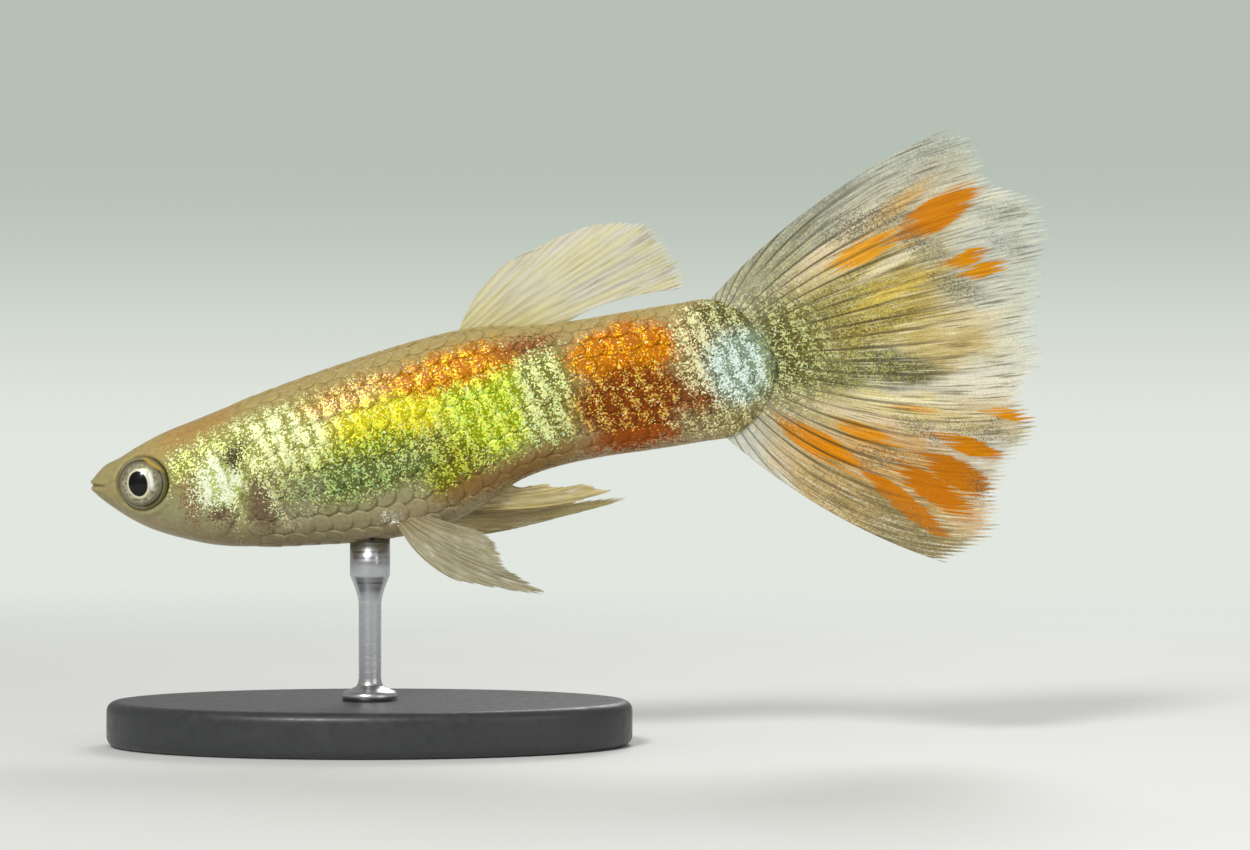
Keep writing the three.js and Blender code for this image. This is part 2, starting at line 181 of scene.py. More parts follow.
# %% Body form
STATIONS = np.array([
    # distance from the snout, height of the back, height of the belly, half width
    (0.0, 0.08, -0.12, 0.3), (0.1, 0.22, -0.36, 0.62), (0.3, 0.42, -0.62, 0.88),
    (0.7, 0.7, -1.04, 1.12), (1.3, 0.88, -1.6, 1.4), (2.1, 1.2, -2.18, 1.7),
    (3.2, 1.55, -2.74, 1.96), (4.6, 1.86, -3.3, 2.14), (6.2, 2.22, -3.66, 2.26),
    (8.2, 2.6, -3.94, 2.36), (10.4, 2.96, -4.2, 2.36), (12.4, 3.24, -4.22, 2.24),
    (14.2, 3.42, -3.96, 2.06), (15.4, 3.48, -3.52, 1.9), (16.8, 3.42, -2.9, 1.72),
    (18.2, 3.16, -2.62, 1.52), (20.2, 3.03, -2.54, 1.3), (22.4, 3.01, -2.62, 1.1),
    (24.4, 2.97, -2.66, 0.92), (25.6, 2.92, -2.66, 0.76), (26.3, 2.56, -2.34, 0.64),
    (26.9, 2.06, -1.88, 0.53), (27.4, 1.4, -1.3, 0.45), (LENGTH, 0.5, -0.5, 0.4),
])
BACK, BELLY, HALF_WIDTH = 1, 2, 3  # the columns after the distance from the snout
WIDEST_SHARE = 0.52  # height of the widest level, as a share of the depth
FULLNESS = 0.82  # below 1 the section is fuller than an ellipse


def outline(x, column):
    """The outline's value at each x, as a smooth curve through the stations."""
    xs, ys = STATIONS[:, 0], STATIONS[:, column]
    order = np.arange(len(xs))
    before, after = np.maximum(order - 1, 0), np.minimum(order + 1, len(xs) - 1)
    slopes = (ys[after] - ys[before]) / (xs[after] - xs[before])
    i = np.clip(np.searchsorted(xs, x, side="right") - 1, 0, len(xs) - 2)
    span = xs[i + 1] - xs[i]
    t = np.clip((x - xs[i]) / span, 0, 1)
    start = (2 * t**3 - 3 * t**2 + 1) * ys[i] + (t**3 - 2 * t**2 + t) * span * slopes[i]
    return start + (3 * t**2 - 2 * t**3) * ys[i + 1] + (t**3 - t**2) * span * slopes[i + 1]


def bare_skin(x, angle):
    """A point of the smooth body. The angle is 0 at the back and runs down the left side to the belly."""
    back, belly, half = (outline(x, column) for column in (BACK, BELLY, HALF_WIDTH))
    level = belly + WIDEST_SHARE * (back - belly)
    c, s = np.cos(angle), np.sin(angle)
    z = level + np.where(c > 0, back - level, level - belly) * c
    y = -half * np.sign(s) * np.abs(s) ** FULLNESS
    return np.stack([x, y, z], -1)


def skin_normal(x, angle):
    """The direction straight out of the smooth body."""
    step = 1e-3
    along = bare_skin(np.minimum(x + step, LENGTH), angle) - bare_skin(np.maximum(x - step, 0), angle)
    around = bare_skin(x, angle + step) - bare_skin(x, angle - step)
    normal = np.cross(around, along)
    return normal / (np.linalg.norm(normal, axis=-1, keepdims=True) + 1e-12)


print("deepest in mm:", round(float((STATIONS[:, BACK] - STATIONS[:, BELLY]).max()), 2))


# %% [markdown]
# The face's relief.
#
# The smooth body gets its face by raising and lowering the skin: lips round the slit of the mouth, a pit
# for each nostril, a ring round each eye, and the free edge of the gill cover with its fold in front. Lips
# and covers could be meshes of their own, but then a seam would show where each is let into the skin.

# %% Relief of head and flank
EYE = {"x": 2.22, "y": 1.46, "z": -0.3, "radius": 1.03, "depth": 0.58, "turn": math.radians(13)}
MOUTH_CORNER = 0.6
MOUTH_SLOPE = -0.28
NOSTRIL = (0.95, 0.62, 0.72)
GILL_EDGE = {"x": 6.3, "z": -0.3, "above": 0.12, "below": 0.18}  # its hindmost point and how it curves away
CHEEK_FOLD = {"x": 5.7, "z": -0.7, "radius": 1.75}
SHOULDER = {"x": 7.1, "z": -0.95}
HEAD_CORE = np.array([1.3, 0.0, -0.15])  # the lips swell away from this point inside the head


def gill_edge(z):
    """Where the gill cover ends, at height z."""
    rise = z - GILL_EDGE["z"]
    return GILL_EDGE["x"] - np.where(rise > 0, GILL_EDGE["above"], GILL_EDGE["below"]) * rise**2


def relief(p):
    """How far the skin stands out of the smooth body at each point, in millimetres."""
    x, y, z = p[..., 0], np.abs(p[..., 1]), p[..., 2]
    mouth = z - MOUTH_SLOPE * x
    slit = -0.11 * bump(mouth, 0, 0.06) * smooth(MOUTH_CORNER + 0.15, MOUTH_CORNER - 0.15, x)
    lips = 0.06 * (bump(mouth, 0.16, 0.1) + bump(mouth, -0.17, 0.1)) * smooth(0.6, 0.2, x)
    pit = np.sqrt((x - NOSTRIL[0]) ** 2 + (y - NOSTRIL[1]) ** 2 + (z - NOSTRIL[2]) ** 2)
    nostril = 0.02 * bump(pit, 0.16, 0.05) - 0.09 * bump(pit, 0, 0.08)
    from_eye = np.hypot(x - EYE["x"], z - EYE["z"])
    beside = smooth(0.4, 0.9, y)
    orbit = (0.06 * bump(from_eye, 1.2, 0.13) - 0.45 * smooth(1.12, 0.95, from_eye)) * beside
    past = x - gill_edge(z)
    tall = smooth(-3.2, -2.4, z) * smooth(1.3, 0.7, z)
    cover = np.where(past < 0, 0.07 * smooth(-1.3, 0, past), -0.07 * bump(past, 0.05, 0.22)) * tall
    fold = np.hypot(x - CHEEK_FOLD["x"], z - CHEEK_FOLD["z"]) - CHEEK_FOLD["radius"]
    cheek = -0.04 * bump(fold, 0, 0.08) * smooth(5.4, 5.0, x) * beside
    shoulder = 0.05 * bump(np.hypot(x - SHOULDER["x"], z - SHOULDER["z"]), 0, 0.4)
    return slit + lips + nostril + orbit + cover + cheek + shoulder


def raised_skin(x, angle, inset):
    """The skin with its relief, set in a little. Round the mouth it is pushed away from the head's core."""
    bare = bare_skin(x, angle)
    from_core = bare - HEAD_CORE
    from_core /= np.linalg.norm(from_core, axis=-1, keepdims=True)
    share = smooth(1.3, 0.5, bare[..., :1])
    way = skin_normal(x, angle) * (1 - share) + from_core * share
    return bare + way * (relief(bare) - inset)[..., None]


# %% [markdown]
# Short shader code.
#
# Materials are graphs of nodes. They could be joined by hand in the shader editor, but a long graph is easier
# to read as text. A small class writes each node in a line, and an effect that several materials share
# becomes a node group with named inputs and outputs.

# %% Shader helper
class Graph:
    """Adds nodes to a tree. Each call returns the new node's output, ready to feed the next one."""

    def __init__(self, tree):
        self.tree = tree

    def put(self, value, socket):
        if isinstance(value, bpy.types.NodeSocket):
            self.tree.links.new(value, socket)
        else:
            socket.default_value = value

    def add(self, kind, inputs=None, output=0, **settings):
        """Any node. The settings are the node's own, and the inputs are values or other outputs."""
        node = self.tree.nodes.new("ShaderNode" + kind)
        for key, value in settings.items():
            setattr(node, key, value)
        for key, value in (inputs or {}).items():
            self.put(value, node.inputs[key])
        return node.outputs[output]

    def math(self, operation, a, b=0.0, clamp=False):
        return self.add("Math", {0: a, 1: b}, operation=operation, use_clamp=clamp)

    def plus(self, a, b):
        return self.math("ADD", a, b)

    def minus(self, a, b):
        return self.math("SUBTRACT", a, b)

    def times(self, a, b, clamp=False):
        return self.math("MULTIPLY", a, b, clamp)

    def vector(self, operation, a, b):
        return self.add("VectorMath", {0: a, 1: b}, operation=operation)

    def scaled(self, way, amount):
        return self.add("VectorMath", {0: way, "Scale": amount}, operation="SCALE")

    def length(self, way):
        return self.add("VectorMath", {0: way}, output="Value", operation="LENGTH")

    def mix(self, factor, a, b):
        return self.add("Mix", {0: factor, 6: a, 7: b}, output=2, data_type="RGBA")

    def blend(self, factor, a, b):
        return self.add("Mix", {0: factor, 2: a, 3: b}, data_type="FLOAT")

    def step(self, value, low, high, to_low=0.0, to_high=1.0):
        """An S-shaped step from to_low at low to to_high at high."""
        inputs = {"Value": value, "From Min": low, "From Max": high, "To Min": to_low, "To Max": to_high}
        return self.add("MapRange", inputs, interpolation_type="SMOOTHSTEP")

    def noise(self, place, scale, detail, output="Fac"):
        return self.add("TexNoise", {"Vector": place, "Scale": scale, "Detail": detail}, output)

    def value(self, name, output="Vector"):
        """A value that the mesh stores on its points."""
        return self.add("Attribute", output=output, attribute_name=name)

    def group(self, tree, inputs):
        node = self.tree.nodes.new("ShaderNodeGroup")
        node.node_tree = tree
        for key, value in inputs.items():
            self.put(value, node.inputs[key])
        return node.outputs


def new_group(name, inputs, outputs):
    """An empty node group. Inputs are (label, kind, value) and outputs (label, kind)."""
    tree = bpy.data.node_groups.new(name, "ShaderNodeTree")
    for label, kind, value in inputs:
        socket = tree.interface.new_socket(label, in_out="INPUT", socket_type="NodeSocket" + kind)
        if value is not None:
            socket.default_value = value
    for label, kind in outputs:
        tree.interface.new_socket(label, in_out="OUTPUT", socket_type="NodeSocket" + kind)
    start, end = tree.nodes.new("NodeGroupInput"), tree.nodes.new("NodeGroupOutput")
    print("group:", name)
    return tree, Graph(tree), start.outputs, end.inputs


def new_material(name, **constants):
    """A material whose fixed values sit on the shader's own sockets."""
    material = bpy.data.materials.new(name)
    material.use_nodes = True
    shader = material.node_tree.nodes["Principled BSDF"]
    for label, value in constants.items():
        shader.inputs[label.replace("_", " ")].default_value = value
    print("material:", name)
    return material, Graph(material.node_tree), shader.inputs


def rgb(r, g, b):
    """A screen colour (0 to 255) as the linear colour that a shader wants."""
    linear = [(c / 255 / 12.92) if c <= 10 else ((c / 255 + 0.055) / 1.055) ** 2.4 for c in (r, g, b)]
    return (*linear, 1.0)


# %% [markdown]
# Patches of colour.
#
# The patches of a fancy guppy have no hard outline. They could be painted by hand on an image. Here a patch
# is a soft ellipse at a place in fish coordinates, which stays sharp however near the camera comes. Its edge
# is broken up because the place that it is asked about is first shaken by noise, or snapped to a cell.

# %% Patch group
def build_patch_group():
    inputs = [("Place", "Vector", None), ("Middle", "Vector", None), ("Size", "Vector", None),
              ("Turn", "Vector", None), ("Softness", "Float", 0.3)]
    tree, g, given, result = new_group("patch", inputs, [("Mask", "Float")])
    flat = g.vector("MULTIPLY", given["Place"], (1, 0, 1))
    local = {"Vector": flat, "Location": given["Middle"], "Rotation": given["Turn"], "Scale": given["Size"]}
    inside = g.add("Mapping", local, vector_type="TEXTURE")
    far = g.length(inside)
    inner = g.minus(1.0, given["Softness"])
    outer = g.plus(1.0, given["Softness"])
    g.put(g.step(far, inner, outer, 1.0, 0.0), result["Mask"])
    return tree


patch_group = build_patch_group()


def patch(g, place, middle, size, turn_deg, softness):
    """The mask of one soft ellipse: middle and half sizes in millimetres, turned nose up by an angle."""
    inputs = {"Place": place, "Middle": (middle[0], 0, middle[1]), "Size": (size[0], 1, size[1]),
              "Turn": (0, -math.radians(turn_deg), 0), "Softness": softness}
    return g.group(patch_group, inputs)["Mask"]


# %% [markdown]
# Reflecting cells.
#
# In life the glitter comes from stacks of tiny crystals in flat cells under the skin. A noise texture would
# blur them. A Voronoi texture gives each cell its own edge and its own random values, which is what a cell
# needs: one value says whether it is lit, and the others vary its colour.

# %% Flake group
def build_flake_group():
    """A cell's own place, and three random values for it."""
    inputs = [("Place", "Vector", None), ("Cells per mm", "Float", 10.0), ("Scatter", "Float", 0.5)]
    outputs = [("Cell", "Vector")] + [(label, "Float") for label in ("Chance", "Second", "Third", "Dome")]
    tree, g, given, result = new_group("flakes", inputs, outputs)
    cells = tree.nodes.new("ShaderNodeTexVoronoi")
    g.put(given["Place"], cells.inputs["Vector"])
    g.put(given["Cells per mm"], cells.inputs["Scale"])
    parts = tree.nodes.new("ShaderNodeSeparateColor")
    g.put(cells.outputs["Color"], parts.inputs["Color"])
    jump = g.vector("SUBTRACT", cells.outputs["Color"], (0.5, 0.5, 0.5))
    g.put(g.vector("ADD", given["Place"], g.scaled(jump, given["Scatter"])), result["Cell"])
    for label, part in (("Chance", "Red"), ("Second", "Green"), ("Third", "Blue")):
        g.put(parts.outputs[part], result[label])
    g.put(g.step(cells.outputs["Distance"], 0.15, 0.7, 1.0, 0.0), result["Dome"])
    return tree


flake_group = build_flake_group()


# %% [markdown]
# The fish's markings.
#
# Each mark has the colour of the flesh under it, the colour of its reflecting cells, and how many of those
# there are. They are laid one over the other: on an olive back and a grey belly lie a bright gill cover, an
# orange stripe over a yellow and lime flank, a block of orange and rust, and a pale blue spot at the tail's
# root. Soft ellipses are chosen because each is five numbers that a painter would also think in.

# %% Markings group
MARKS = [
    # middle, half sizes, turn, softness, flesh, cells, share of cells
    ((4.6, 1.45), (1.7, 0.45), 15, 0.6, (176, 140, 80), (214, 184, 120), 0.04),
    ((0.9, -0.1), (1.6, 1.2), 0, 0.6, (160, 148, 100), (190, 190, 150), 0.03),
    ((11.8, 0.0), (7.4, 2.1), 4, 0.25, (120, 118, 54), (226, 232, 134), 0.6),
    ((7.8, 0.4), (3.2, 1.2), 7, 0.35, (160, 160, 78), (244, 250, 180), 0.68),
    ((11.0, 1.6), (2.2, 0.6), 9, 0.35, (170, 124, 54), (238, 206, 118), 0.55),
    ((12.5, 0.5), (2.6, 0.85), 5, 0.35, (194, 184, 6), (252, 248, 66), 0.62),
    ((16.3, 0.2), (2.0, 2.1), 8, 0.3, (146, 160, 8), (234, 252, 96), 0.64),
    ((15.1, 2.0), (2.8, 0.76), 5, 0.25, (190, 112, 0), (252, 196, 40), 0.42),
    ((14.4, -1.9), (1.3, 1.2), 0, 0.4, (106, 104, 12), (208, 216, 70), 0.55),
    ((11.4, -0.6), (1.8, 0.6), 4, 0.4, (116, 124, 20), (208, 224, 84), 0.52),
    ((10.8, -1.6), (3.0, 0.8), 3, 0.4, (98, 106, 50), (190, 214, 132), 0.42),
    ((18.6, 0.1), (1.1, 2.2), 0, 0.4, (126, 124, 52), (236, 246, 162), 0.6),
    ((18.1, 2.35), (1.3, 0.28), 3, 0.5, (140, 84, 44), (200, 140, 90), 0.15),
    ((21.9, 1.45), (2.4, 1.15), 0, 0.2, (188, 108, 0), (250, 180, 10), 0.42),
    ((21.8, -0.6), (2.4, 1.4), 0, 0.25, (124, 58, 0), (228, 184, 80), 0.38),
    ((21.7, -2.0), (2.3, 0.42), 0, 0.35, (150, 70, 0), (196, 110, 30), 0.12),
    ((24.9, 0.6), (0.9, 2.0), 0, 0.4, (124, 106, 58), (238, 228, 170), 0.7),
    ((24.8, -1.8), (1.4, 0.6), 0, 0.5, (124, 108, 66), (220, 210, 150), 0.4),
    ((24.4, -1.0), (0.9, 0.45), -10, 0.5, (120, 66, 24), (206, 160, 96), 0.3),
    ((28.6, 0.3), (2.2, 3.2), 0, 0.5, (82, 78, 32), (206, 212, 140), 0.48),
    ((26.3, 0.1), (1.25, 1.6), 0, 0.4, (132, 150, 124), (228, 248, 236), 0.62),
    ((26.3, 2.3), (1.6, 0.8), 0, 0.5, (100, 94, 50), (216, 218, 150), 0.5),
    ((26.2, -2.1), (1.5, 0.6), 0, 0.5, (136, 122, 78), (222, 216, 150), 0.45),
    ((27.7, 0.9), (0.28, 1.3), 10, 0.5, (84, 86, 50), (176, 186, 120), 0.4),
    ((4.9, 0.2), (1.9, 0.75), 9, 0.4, (146, 146, 76), (230, 238, 140), 0.5),
    ((5.2, -0.85), (0.95, 1.1), 0, 0.35, (180, 192, 104), (248, 255, 222), 0.85),
    ((6.0, 0.1), (0.25, 0.6), -35, 0.4, (74, 68, 44), (130, 120, 76), 0.15),
    ((4.0, -1.4), (0.18, 0.9), 0, 0.5, (136, 94, 68), (190, 150, 110), 0.05),
    ((4.95, -2.05), (0.45, 0.3), 0, 0.5, (106, 80, 62), (150, 120, 90), 0.1),
    ((6.7, -1.9), (0.55, 1.0), 0, 0.5, (114, 94, 72), (170, 150, 110), 0.1),
    ((5.8, -2.2), (0.1, 0.8), 0, 0.5, (150, 150, 80), (242, 248, 170), 0.7),
    ((7.3, -1.8), (0.3, 1.2), 27, 0.5, (122, 112, 70), (240, 242, 180), 0.55),
    ((16.7, -2.45), (3.2, 0.5), 11, 0.4, (146, 112, 60), (170, 140, 90), 0.08),
    ((11.7, -3.4), (0.3, 0.2), 0, 0.5, (200, 196, 180), (255, 252, 240), 0.8),
]
RIGHT_SIDE_SHIFT = (0.6, 0, -0.2)  # no guppy has the same patches on both sides


def build_markings_group():
    outputs = [("Flesh", "Color"), ("Cells", "Color"), ("Share", "Float")]
    inputs = [("Place", "Vector", None), ("Rise", "Float", 0.5)]
    tree, g, given, result = new_group("markings", inputs, outputs)
    place = given["Place"]
    rise = given["Rise"]
    warp = g.vector("SUBTRACT", g.noise(place, 1.4, 3.0, "Color"), (0.5, 0.5, 0.5))
    place = g.vector("ADD", place, g.vector("MULTIPLY", warp, (0.9, 0, 0.9)))
    right_side = g.step(g.add("SeparateXYZ", {"Vector": place}, "Y"), 0.2, 1.4)
    place = g.vector("ADD", place, g.scaled(RIGHT_SIDE_SHIFT, right_side))
    flesh = g.mix(g.step(rise, 0.04, 0.3), rgb(174, 158, 121), rgb(156, 152, 108))
    flesh = g.mix(g.step(rise, 0.3, 0.6), flesh, rgb(152, 136, 88))
    flesh = g.mix(g.step(rise, 0.6, 0.85), flesh, rgb(178, 158, 100))
    cells, share = rgb(224, 214, 160), 0.05
    for middle, size, turn, softness, flesh_colour, cell_colour, cell_share in MARKS:
        mask = patch(g, place, middle, size, turn, softness)
        flesh = g.mix(mask, flesh, rgb(*flesh_colour))
        cells = g.mix(mask, cells, rgb(*cell_colour))
        share = g.blend(mask, share, cell_share)
    g.put(flesh, result["Flesh"])
    g.put(cells, result["Cells"])
    g.put(share, result["Share"])
    return tree


markings_group = build_markings_group()
print("marks on the body:", len(MARKS))


# %% [markdown]
# Glitter.
#
# A reflecting cell is lit or dark, and some are between the two. Real crystals could be modelled one by one,
# but there are far too many of them. This group lays them over the flesh in leaning rows that follow the
# scale columns, each a little off the colour of its mark. A few lit cells are painted near white as painted
# glints.

# %% Glitter group
SCALE_PITCH = 0.76  # millimetres from one column of scales to the next
ROW_LEAN = (1, 0, 0.35)
CELLS_PER_MM = 17.0


def build_glitter_group():
    inputs = [("Place", "Vector", None), ("Rise", "Float", 0.5), ("Cells per mm", "Float", CELLS_PER_MM)]
    outputs = [("Color", "Color"), ("Lit", "Float"), ("Share", "Float"), ("Height", "Float")]
    tree, g, given, result = new_group("glitter", inputs, outputs)
    place = given["Place"]
    flakes = g.group(flake_group, {"Place": place, "Cells per mm": given["Cells per mm"], "Scatter": 0.6})
    marks = g.group(markings_group, {"Place": flakes["Cell"], "Rise": given["Rise"]})
    lean = g.add("VectorMath", {0: place, 1: ROW_LEAN}, output="Value", operation="DOT_PRODUCT")
    lean = g.plus(lean, g.times(g.noise(place, 1.2, 2.0), 0.9))
    rows = g.math("SINE", g.times(lean, 2 * math.pi / SCALE_PITCH))
    clouds = g.minus(g.noise(place, 2.6, 3.0), 0.5)
    lift = g.plus(g.times(rows, 0.45), g.times(clouds, 0.9))
    share = g.times(marks["Share"], g.plus(1.0, lift), clamp=True)
    lit = g.step(flakes["Chance"], g.minus(1.0, share), g.minus(1.2, share))
    tone = {"Hue": g.step(flakes["Second"], 0.0, 1.0, 0.46, 0.54), "Color": marks["Cells"],
            "Value": g.plus(0.78, g.times(flakes["Third"], 0.4))}
    cells = g.add("HueSaturation", tone)
    # Painted glints: a few lit cells are turned near white, as if each caught the light.
    painted_glint = g.times(g.step(flakes["Second"], 0.88, 1.0), lit)
    cells = g.mix(g.times(painted_glint, 0.6), cells, rgb(255, 255, 246))
    shade = g.step(g.noise(place, 5.0, 4.0), 0.25, 0.75, 0.86, 1.1)
    flesh = g.add("HueSaturation", {"Value": shade, "Color": marks["Flesh"]})
    g.put(g.mix(lit, flesh, cells), result["Color"])
    g.put(lit, result["Lit"])
    g.put(marks["Share"], result["Share"])
    g.put(g.times(flakes["Dome"], lit), result["Height"])
    return tree


glitter_group = build_glitter_group()


# %% [markdown]
# The skin's finish.
#
# A fish's skin is wet and smooth over its flesh, and its glitter is nearly metal. The skin and the scales
# share one material, so a mark runs on from one to the other, and each scale is a little darker at its free
# edge. The cells also stand up in the bump, so that each catches the light a little differently.

# %% Skin material
def build_skin_material():
    finish = {"Roughness": 0.4, "Specular_IOR_Level": 0.12, "Coat_Roughness": 0.2}
    material, g, shader = new_material("guppy skin", **finish)
    place = g.value("fish")
    glitter = g.group(glitter_group, {"Place": place, "Rise": g.value("rise", "Fac")})
    colour = g.mix(g.times(g.value("edge", "Fac"), 0.06), glitter["Color"], rgb(84, 70, 44))
    g.put(colour, shader["Base Color"])
    g.put(g.times(glitter["Lit"], 0.25), shader["Metallic"])
    g.put(g.step(glitter["Share"], 0.0, 0.4, 0.14, 0.02), shader["Coat Weight"])
    height = g.plus(glitter["Height"], g.noise(place, 9.0, 3.0))
    g.put(g.add("Bump", {"Height": height, "Strength": 0.3, "Distance": 0.025 * MM}), shader["Normal"])
    return material


skin_material = build_skin_material()


# %% [markdown]
# The skin.
#
# One closed skin covers the head, the jaw, the gill covers, the trunk and the stalk, so that no seam shows
# between them. It is lofted as rings round the body rather than sculpted, because the same outline also
# places the scales and unwraps the skin for baking.

# %% Skin mesh
SKIN_RINGS = 430
SKIN_SIDES = 220
SKIN_INSET = 0.05  # the scales lie over the skin
FIRST_RING = 0.004  # just behind the tip of the snout, so that the first ring isn't a point
MAP_MARGIN = 0.02


def place_rings(count):
    """Ring places that crowd towards the snout, where the form is finest."""
    t = np.linspace(0, 1, count)
    return LENGTH * (0.35 * t + 0.65 * t**2)


def rise_share(points):
    """0 at the belly and 1 at the back."""
    x = np.clip(points[..., 0], 0, LENGTH)
    back, belly = outline(x, BACK), outline(x, BELLY)
    return (points[..., 2] - belly) / (back - belly + 1e-6)


def unwrap(x, turn):
    """The skin cut along the back and laid flat: x runs along the fish and turn is the share of a ring."""
    span = 1 - 2 * MAP_MARGIN
    return np.stack([MAP_MARGIN + span * x / LENGTH, MAP_MARGIN + span * turn], -1)


def build_skin():
    x = np.maximum(place_rings(SKIN_RINGS), FIRST_RING)[:, None]
    angle = (np.arange(SKIN_SIDES) * 2 * math.pi / SKIN_SIDES)[None, :]
    x, angle = np.broadcast_arrays(x, angle)
    points = raised_skin(x, angle, SKIN_INSET * smooth(3, 7, x))
    rings = points.reshape(-1, 3)
    ends = np.array([points[0].mean(0), points[-1].mean(0)])
    points = np.concatenate([rings, ends])
    faces = grid_faces(SKIN_RINGS, SKIN_SIDES, closed=True).tolist()
    last = (SKIN_RINGS - 1) * SKIN_SIDES
    for j in range(SKIN_SIDES):
        k = (j + 1) % SKIN_SIDES
        faces.append([len(rings), k, j])
        faces.append([len(rings) + 1, last + j, last + k])
    rise = np.clip(rise_share(points), 0, 1)
    skin = make_piece("skin", points, faces, skin_material, "skin", rise=rise, edge=np.zeros(len(points)))
    around = np.concatenate([angle.ravel() / (2 * math.pi), [0.5, 0.5]])
    set_bake_map(skin, unwrap(points[:, 0], around))
    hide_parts("head", "lower_jaw", "gill_cover_left", "gill_cover_right", "trunk", "tail_stalk")
    return skin


skin = build_skin()

# %% [markdown]
# Scales.
#
# The scales are thin round plates in staggered rows, rooted at the front and free at the back, each lying
# over the next one behind. A bump pattern would be lighter, but it shows nothing at the fish's outline. So
# one plate is modelled as rings round a middle, and a loop sets it all over the body.

# %% Scale mesh
SCALE_ROWS = 22
SCALE_COLUMNS = 27
FIRST_COLUMN = 6.55  # just behind the gill cover
PLATE_LONG = 0.72  # half length of a plate, in pitches
PLATE_WIDE = 1.16  # half width of a plate, in half rows
PLATE_RINGS = 4
PLATE_SIDES = 14
PLATE_THICKNESS = 0.03
ROOT_DEPTH = 0.03  # how far a plate's rooted end lies under the smooth body


def plate_shape():
    """How far back and across each point of a plate is, from -1 to 1, and the faces of one side."""
    turn = np.arange(PLATE_SIDES) * 2 * math.pi / PLATE_SIDES
    radius = np.linspace(0, 1, PLATE_RINGS + 1)[1:]
    back = np.concatenate([[0], (radius[:, None] * np.cos(turn)).ravel()])
    across = np.concatenate([[0], (radius[:, None] * np.sin(turn)).ravel()])
    fan = [[0, 1 + (j + 1) % PLATE_SIDES, 1 + j] for j in range(PLATE_SIDES)]
    return back, across, fan + grid_faces(PLATE_RINGS, PLATE_SIDES, closed=True, first=1).tolist()


def build_scales():
    back, across, plate = plate_shape()
    size = len(back)
    rim = size - PLATE_SIDES
    lift = -ROOT_DEPTH + 0.037 * ((back + 1) / 2) ** 1.5 + 0.01 * (1 - back**2 - across**2)
    edge = smooth(0.55, 1.0, back * 0.75 + np.hypot(back, across) * 0.35)
    points, faces, edges, flats = [], [], [], []
    for column in range(SCALE_COLUMNS):
        for row in range(SCALE_ROWS):
            x0 = FIRST_COLUMN + SCALE_PITCH * (column + 0.5 * (row % 2)) + rng.normal(0, 0.02)
            angle0 = 2 * math.pi * (row + 0.5) / SCALE_ROWS + rng.normal(0, 0.01)
            grow = rng.uniform(0.94, 1.06)
            x = x0 + back * SCALE_PITCH * PLATE_LONG * grow
            angle = angle0 + across * (math.pi / SCALE_ROWS) * PLATE_WIDE * grow
            base = bare_skin(np.clip(x, 0, LENGTH), angle)
            if x.max() > LENGTH - 0.5 or (x - gill_edge(base[:, 2])).min() < 0.05:
                continue
            normal = skin_normal(x, angle)
            fade = smooth(LENGTH - 0.4, LENGTH - 2.5, x)
            top = base + normal * (lift * fade - ROOT_DEPTH * (1 - fade))[:, None]
            bottom = top - normal * PLATE_THICKNESS
            first = size * len(points)
            points += [top, bottom]
            faces += [[first + i for i in face] for face in plate]
            faces += [[first + size + i for i in face[::-1]] for face in plate]
            for j in range(PLATE_SIDES):
                a, b = first + rim + j, first + rim + (j + 1) % PLATE_SIDES
                faces.append([a, b, b + size, a + size])
            edges += [edge, edge]
            flat = unwrap(x, angle % (2 * math.pi) / (2 * math.pi))
            flats += [flat, flat]
    points = np.concatenate(points)
    rise = np.clip(rise_share(points), 0, 1)
    values = {"rise": rise, "edge": np.concatenate(edges)}
    scales = make_piece("scales", points, faces, skin_material, "skin", **values)
    set_bake_map(scales, np.concatenate(flats))
    print("scales:", len(flats) // 2)


build_scales()

# %% [markdown]
# The eye's colours.
#
# A fish's eye is coloured in rings round the line of sight: a black upright pupil, a cream edge, a silvery
# olive iris with a golden arc above, and a dark outer ring. A white patch right of the pupil is a painted
# highlight. Each ring could be a thin disc of its own. One material draws them all, from a direction that
# the mesh stores on each of its points.

# %% Eye material
def build_eye_material():
    finish = {"Roughness": 0.3, "Specular_IOR_Level": 0.1, "Coat_Weight": 0.45, "Coat_Roughness": 0.03}
    material, g, shader = new_material("guppy eye", **finish)
    sight = g.value("sight")
    flat = g.vector("MULTIPLY", sight, (1, 0, 1))
    far = g.length(flat)
    pupil = g.length(g.vector("MULTIPLY", flat, (1 / 0.38, 0, 1 / 0.48)))
    spots = g.noise(g.vector("MULTIPLY", sight, (3, 3, 3)), 2.5, 4.0)
    iris = g.mix(g.step(spots, 0.35, 0.65), rgb(118, 114, 84), rgb(190, 186, 156))
    iris = g.mix(g.step(far, 0.62, 0.84), iris, rgb(122, 116, 88))
    # A white patch right of the pupil is a painted highlight, a lamp's reflection on the iris.
    painted_highlight = patch(g, sight, (0.5, 0.05), (0.1, 0.32), 0, 0.5)
    iris = g.mix(painted_highlight, iris, rgb(250, 252, 246))
    iris = g.mix(g.step(pupil, 1.32, 1.08), iris, rgb(232, 222, 192))
    colour = g.mix(g.step(pupil, 1.06, 0.97), iris, rgb(6, 6, 8))
    colour = g.mix(g.step(far, 0.84, 0.88), colour, rgb(62, 54, 38))
    colour = g.mix(g.step(far, 0.88, 0.93), colour, rgb(146, 140, 102))
    gold = patch(g, sight, (0.6, 0.64), (0.55, 0.05), -43, 0.7)
    colour = g.mix(g.times(gold, 0.75), colour, rgb(222, 184, 70))
    g.put(colour, shader["Base Color"])
    g.put(g.times(g.step(pupil, 0.98, 1.1), 0.3), shader["Metallic"])
    g.put(g.add("Bump", {"Height": spots, "Strength": 0.2, "Distance": 0.02 * MM}), shader["Normal"])
    return material


eye_material = build_eye_material()


